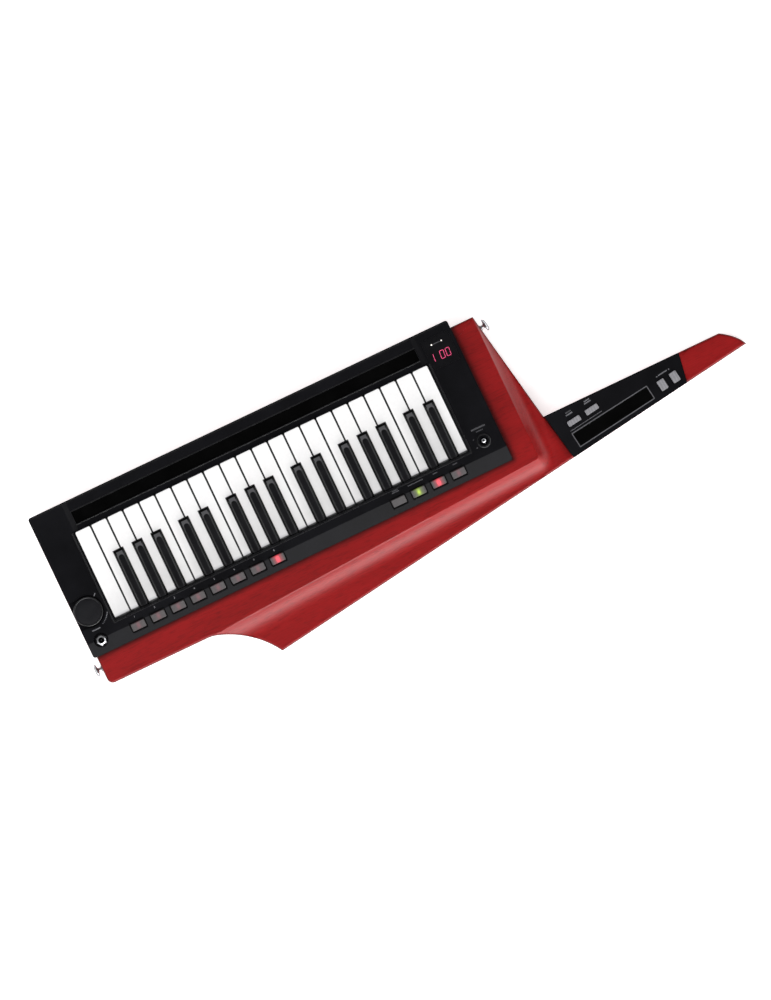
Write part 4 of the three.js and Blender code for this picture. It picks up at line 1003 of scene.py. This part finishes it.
def dashes(name, x, y, z, length, height, finish=FAINT_PRINT, angle=0.0):
    """A row of short printed dashes as one piece: small blocks that each fill a share of the pitch.
    They stand in for small print."""
    pitch, share = 1.5, 0.7
    count = max(1, round(length / pitch))
    square = [(-0.5, -0.5), (0.5, -0.5), (0.5, 0.5), (-0.5, 0.5)]
    block = np.array([[*corner, z] for z in (0, 1) for corner in square])
    steps = (np.arange(count) - (count - 1) / 2) * pitch
    points = block * [share * pitch, height, 0.05] + [0, 0, 0.01] + steps[:, None, None] * [1, 0, 0]
    sides = np.array([[0, 3, 2, 1], [4, 5, 6, 7], [0, 1, 5, 4], [1, 2, 6, 5], [2, 3, 7, 6], [3, 0, 4, 7]])
    faces = (sides + 8 * np.arange(count)[:, None, None]).reshape(-1, 4)
    piece(name, points, finish, faces=faces, turn=at(x, y, z, angle))


def figures():
    """Small printed numbers 1 to 8 above the favourite buttons."""
    for i in range(8):
        curve = bpy.data.curves.new(f"number_{i + 1}", "FONT")
        curve.body = str(i + 1)
        curve.size, curve.extrude, curve.resolution_u = 3.0, 0.03, 3
        curve.align_x = curve.align_y = "CENTER"
        text = link(bpy.data.objects.new(f"number_{i + 1}", curve))
        bpy.context.view_layer.update()
        mesh = bpy.data.meshes.new_from_object(text)
        bpy.data.objects.remove(text)
        above = at(middle(f"favorite_button_{i + 1}")[0], 23.8, PANEL + 0.04)
        mesh.transform(Matrix.Translation(Vector(PLACE)) @ Matrix.Scale(MM, 4) @ above)
        finished(f"favorite_number_{i + 1}", mesh, BRIGHT_PRINT, "body")


def marks():
    for name, x, y, length, height in (
        ("display_scale", 515.8, 160.3, 9.0, 1.1),
        ("function_mark_1", 398.7, 24.3, 9.5, 1.2), ("function_mark_2", 424.1, 24.3, 19.5, 1.2),
        ("function_mark_3", 449.5, 24.3, 5.5, 1.2), ("function_mark_4", 475.0, 24.3, 5.5, 1.2),
        ("function_mark_1_upper", 398.7, 26.1, 7.5, 0.9),
        ("lever_mark_1", 517.0, 50.6, 18.0, 2.0), ("lever_mark_2", 517.2, 46.9, 9.6, 1.0),
    ):
        dashes(name, x, y, PANEL - 0.07 if name == "display_scale" else PANEL, length, height)
    dashes("knob_name", 17.1, 29.5, PANEL, 10.6, 1.3, PRINT)
    for name, x, y, length, height in (
        ("mode_mark_1", 619.6, 22.4, 7.5, 1.5), ("mode_mark_2", 619.6, 19.6, 9.4, 1.5),
        ("mode_mark_3", 644.6, 25.4, 7.5, 1.5), ("mode_mark_4", 644.6, 22.8, 8.8, 1.5),
        ("mode_rule", 633.9, 3.6, 43.0, 0.6), ("value_rule", 738.0, 16.1, 11.5, 1.3),
    ):
        finish = FAINT_PRINT if name == "mode_mark_1" else PRINT
        dashes("neck_" + name, x, y, COVER_TOP, length, height, finish, NECK_ANGLE)
    bar("lever_side_mark_1", 506.4, 40.0, PANEL, 1.6, 0.7, FAINT_PRINT)
    bar("lever_side_mark_2", 506.4, 29.7, PANEL, 1.6, 0.7)
    plus = (746.3, 17.1, COVER_TOP, 1.8, 0.6, PRINT)
    bar("neck_value_minus", 730.1, 14.9, COVER_TOP, 1.8, 0.8, angle=NECK_ANGLE)
    bar("neck_value_plus", *plus, NECK_ANGLE)
    bar("neck_value_plus_upright", *plus, NECK_ANGLE + math.pi / 2, height=0.05)
    # The knob's scale: a tick at its end and dots that follow its rim.
    bar("knob_scale_tick", 32.5, 66.9, PANEL, 4.0, 1.0, angle=math.radians(46))
    dots = 8
    spots = zip(arc(middle("volume_knob"), 22.0, -64, -28, dots), np.radians(np.linspace(26, 62, dots)))
    for i, (spot, angle) in enumerate(spots):
        bar(f"knob_scale_dot_{i + 1}", *spot, PANEL, 0.9 + 0.08 * i, 0.7 + 0.06 * i, angle=angle)


# Socket, knob, lever and the bay's sockets

def phones_socket():
    """The socket's bright hexagonal nut and round collar, over the dark bore."""
    twist = math.degrees(0.3)
    corners = arc((0, 0), 7.0, twist, twist + 300, 6)
    sides = [line(a, b, 9, (True, False)) for a, b in zip(corners, np.roll(corners, -1, 0))]
    hexagon = np.concatenate(sides)
    circle = unit(hexagon)
    bore = 3.35
    levels = [(hexagon, 1.0, 55.6), (hexagon, 1.0, 57.4), (hexagon, 0.97, 57.7), (hexagon, 0.9, 58.2),
              (circle, 5.3, 59.0), (circle, 4.6, 59.6), (circle, 4.1, 59.95), (circle, 3.7, 59.9),
              (circle, bore, 59.4), (circle, bore, 55.6)]
    grid = np.stack([np.column_stack([form * size, np.full(len(form), z)]) for form, size, z in levels], 1)
    piece("phones_nut", grid, NICKEL, RING, slot="bright_metal", turn=at(*PHONES), sharp=25)
    # The contact spring at the bottom of the bore glints grey.
    spring = [(0, 47.2), (1.4, 47.2), (1.5, 47.4), (1.5, 48.6), (1.1, 49.2), (0, 49.4)]
    turned("phones_contact", spring, 24, CHROME, slot="bright_metal", turn=at(*PHONES))


def lip_ring(name, inner, outer, z, body, turn):
    """A ring with a round top between two radii: at angle a its section lies at radius m + h cos a and
    height z + rise sin a, m and h being the middle and half of the two radii."""
    angles = np.linspace(0, math.pi, 9)
    mid, half = (inner + outer) / 2, (outer - inner) / 2
    rise, sunk = 0.9, 1.0
    section = [(mid + half * math.cos(a), z + rise * math.sin(a)) for a in angles]
    turned(name, section + [(inner, z - sunk), (outer, z - sunk)], 72, LIP, RING, body=body, turn=turn)


def fluted_knob():
    """The knob: a profile of (radius, z) turned about its axis. On the side the radius is less by
    half the flutes' depth times 1 - cos(n a), and the flutes fade out towards both rims."""
    turn = at(*middle("volume_knob"))
    low, high = (corner[2] for corner in span("volume_knob"))
    disc, radius, flutes, per_flute, depth = low + 5, 17.2, 60, 6, 0.34
    profile = np.array([(0, low), (2.6, low), (3.0, low + 0.4), (3.0, disc), (radius - 0.8, disc),
                        (radius - 0.2, disc + 0.3), (radius, disc + 0.8), (radius, disc + 1.6),
                        (radius, disc + 4.0), (radius, high - 1.2), (radius - 0.4, high - 0.9),
                        (15.2, high - 0.7), (14.6, high - 0.5), (8.0, high - 0.5), (0, high - 0.5)])
    # The share of the depth at the points 6 to 8 of the profile, up the side. Elsewhere it is nothing.
    fade = np.zeros(profile.shape)
    fade[6:9, 0] = (0.5, 1.0, 1.0)
    sides = per_flute * flutes
    wave = 0.5 * (1 - np.cos(np.arange(sides) * 2 * math.pi / per_flute))
    turned("volume_knob_fluted", profile - depth * wave[:, None, None] * fade, sides, KNOB,
           slot="matt_black_knob", body="volume_knob", replaces=["volume_knob"], turn=turn, sharp=50)
    # Its upper rim is polished and catches the light.
    lip_ring("volume_knob_rim", 15.3, 17.15, high - 0.95, "volume_knob", turn)


def octave_stick():
    """The octave lever: a black pivot ball cut flat below, and a bright stem with a round end."""
    turn = at(*middle("octave_lever"))
    lip_ring("lever_ring_lip", 6.4, 8.4, PANEL + 0.2, "body", turn)
    low, high = (corner[2] for corner in span("octave_lever"))
    pivot, cut, stem, tip = 4.2, 1.0, 1.6, 3.1
    pivot_z, tip_z = low + pivot - cut, high - tip

    def ball(radius, z, start):
        """Profile of a ball from an angle below its middle to its top on the axis."""
        angles = np.linspace(start, math.pi / 2, 14)[:-1]
        return [(radius * math.cos(a), z + radius * math.sin(a)) for a in angles] + [(0, z + radius)]

    cut_ball = [(0, low)] + ball(pivot, pivot_z, -math.asin((pivot - cut) / pivot))
    turned("octave_lever_pivot", cut_ball, 32, SOCKET, body="octave_lever", turn=turn)
    stick = [(0, pivot_z), (stem, pivot_z), (stem, pivot_z + 6)] + ball(tip, tip_z, -math.acos(stem / tip))
    turned("octave_lever_stick", stick, 32, CHROME, slot="bright_metal", body="octave_lever",
           replaces=["octave_lever"], turn=turn, sharp=50)


def bay_sockets():
    """Sockets that hang from the roof of the bay in the back: a round boss with a collar and a
    bore, drawn as one turned profile."""
    roof, row_y = 24.0, 66.0
    shape = [(0, 5.5), (0.42, 5.5), (0.42, 9.4), (0.62, 9.8), (0.7, 9.4), (0.7, 7.0), (1, 6.6), (1, -0.4),
             (0, -0.4)]
    for i, (x, radius) in enumerate(((76, 6.5), (98, 6.5), (122, 5.0), (144, 4.0), (163, 4.0))):
        finish = {"finish": CHROME, "slot": "bright_metal"} if radius > 6 else {"finish": SOCKET}
        profile = [(radius * share, roof - down) for share, down in shape]
        turned(f"bay_socket_{i + 1}", profile, 32, turn=at(x, row_y), sharp=30, **finish)


for build in (body_pieces, strap_pins, kept_nodes, slope_buttons, neck_buttons, display, ribbons,
              opening_rim, figures, marks, phones_socket, fluted_knob, octave_stick, bay_sockets):
    build()


# World and floor

def studio():
    """A pale room: bright low down, darker overhead, and brightest on the near side."""
    world = bpy.data.worlds.new("studio")
    bpy.context.scene.world = world
    world.use_nodes = True
    tree = world.node_tree
    tree.nodes.clear()
    parts = add(tree, "SeparateXYZ", add(tree, "TexCoord").outputs["Generated"])
    shade = add(tree, "ValToRGB", parts.outputs["Z"], stops=[
        (0.0, "#f4f4f4"), (0.35, "#e6e6e6"), (0.55, "#a8a8a8"), (0.72, "#5c5c5c"), (1.0, "#454545")])
    nearness = add(tree, "MapRange", parts.outputs["Y"], 0.3, -0.9, 0.55, 2.2,
                   interpolation_type="SMOOTHSTEP")
    add(tree, "OutputWorld", Surface=add(tree, "Background", shade, nearness))


def paper(tree):
    # Seamless white studio paper: matt, with a hardly visible tooth.
    mottle(tree, 400, 0.9, 0.95, 0.3, "#f4f4f4", "#f8f8f8")
    setup(tree, Specular_IOR_Level=0.1, Emission_Strength=0.62, Emission_Color="#ffffff")


def floor():
    reach, below, count = 14.0, -0.0004, 9
    ways = np.linspace(-reach, reach, count)
    x, y = np.meshgrid(ways, ways, indexing="ij")
    points = np.stack([x, y, np.full_like(x, below)], -1).reshape(-1, 3)
    mesh = bpy.data.meshes.new("floor")
    mesh.from_pydata(points.tolist(), [], quads(count, count).tolist())
    mesh.materials.append(material("paper_white_seamless", paper))
    link(bpy.data.objects.new("floor", mesh))


studio()
floor()
bpy.context.scene.view_settings.view_transform = "Standard"
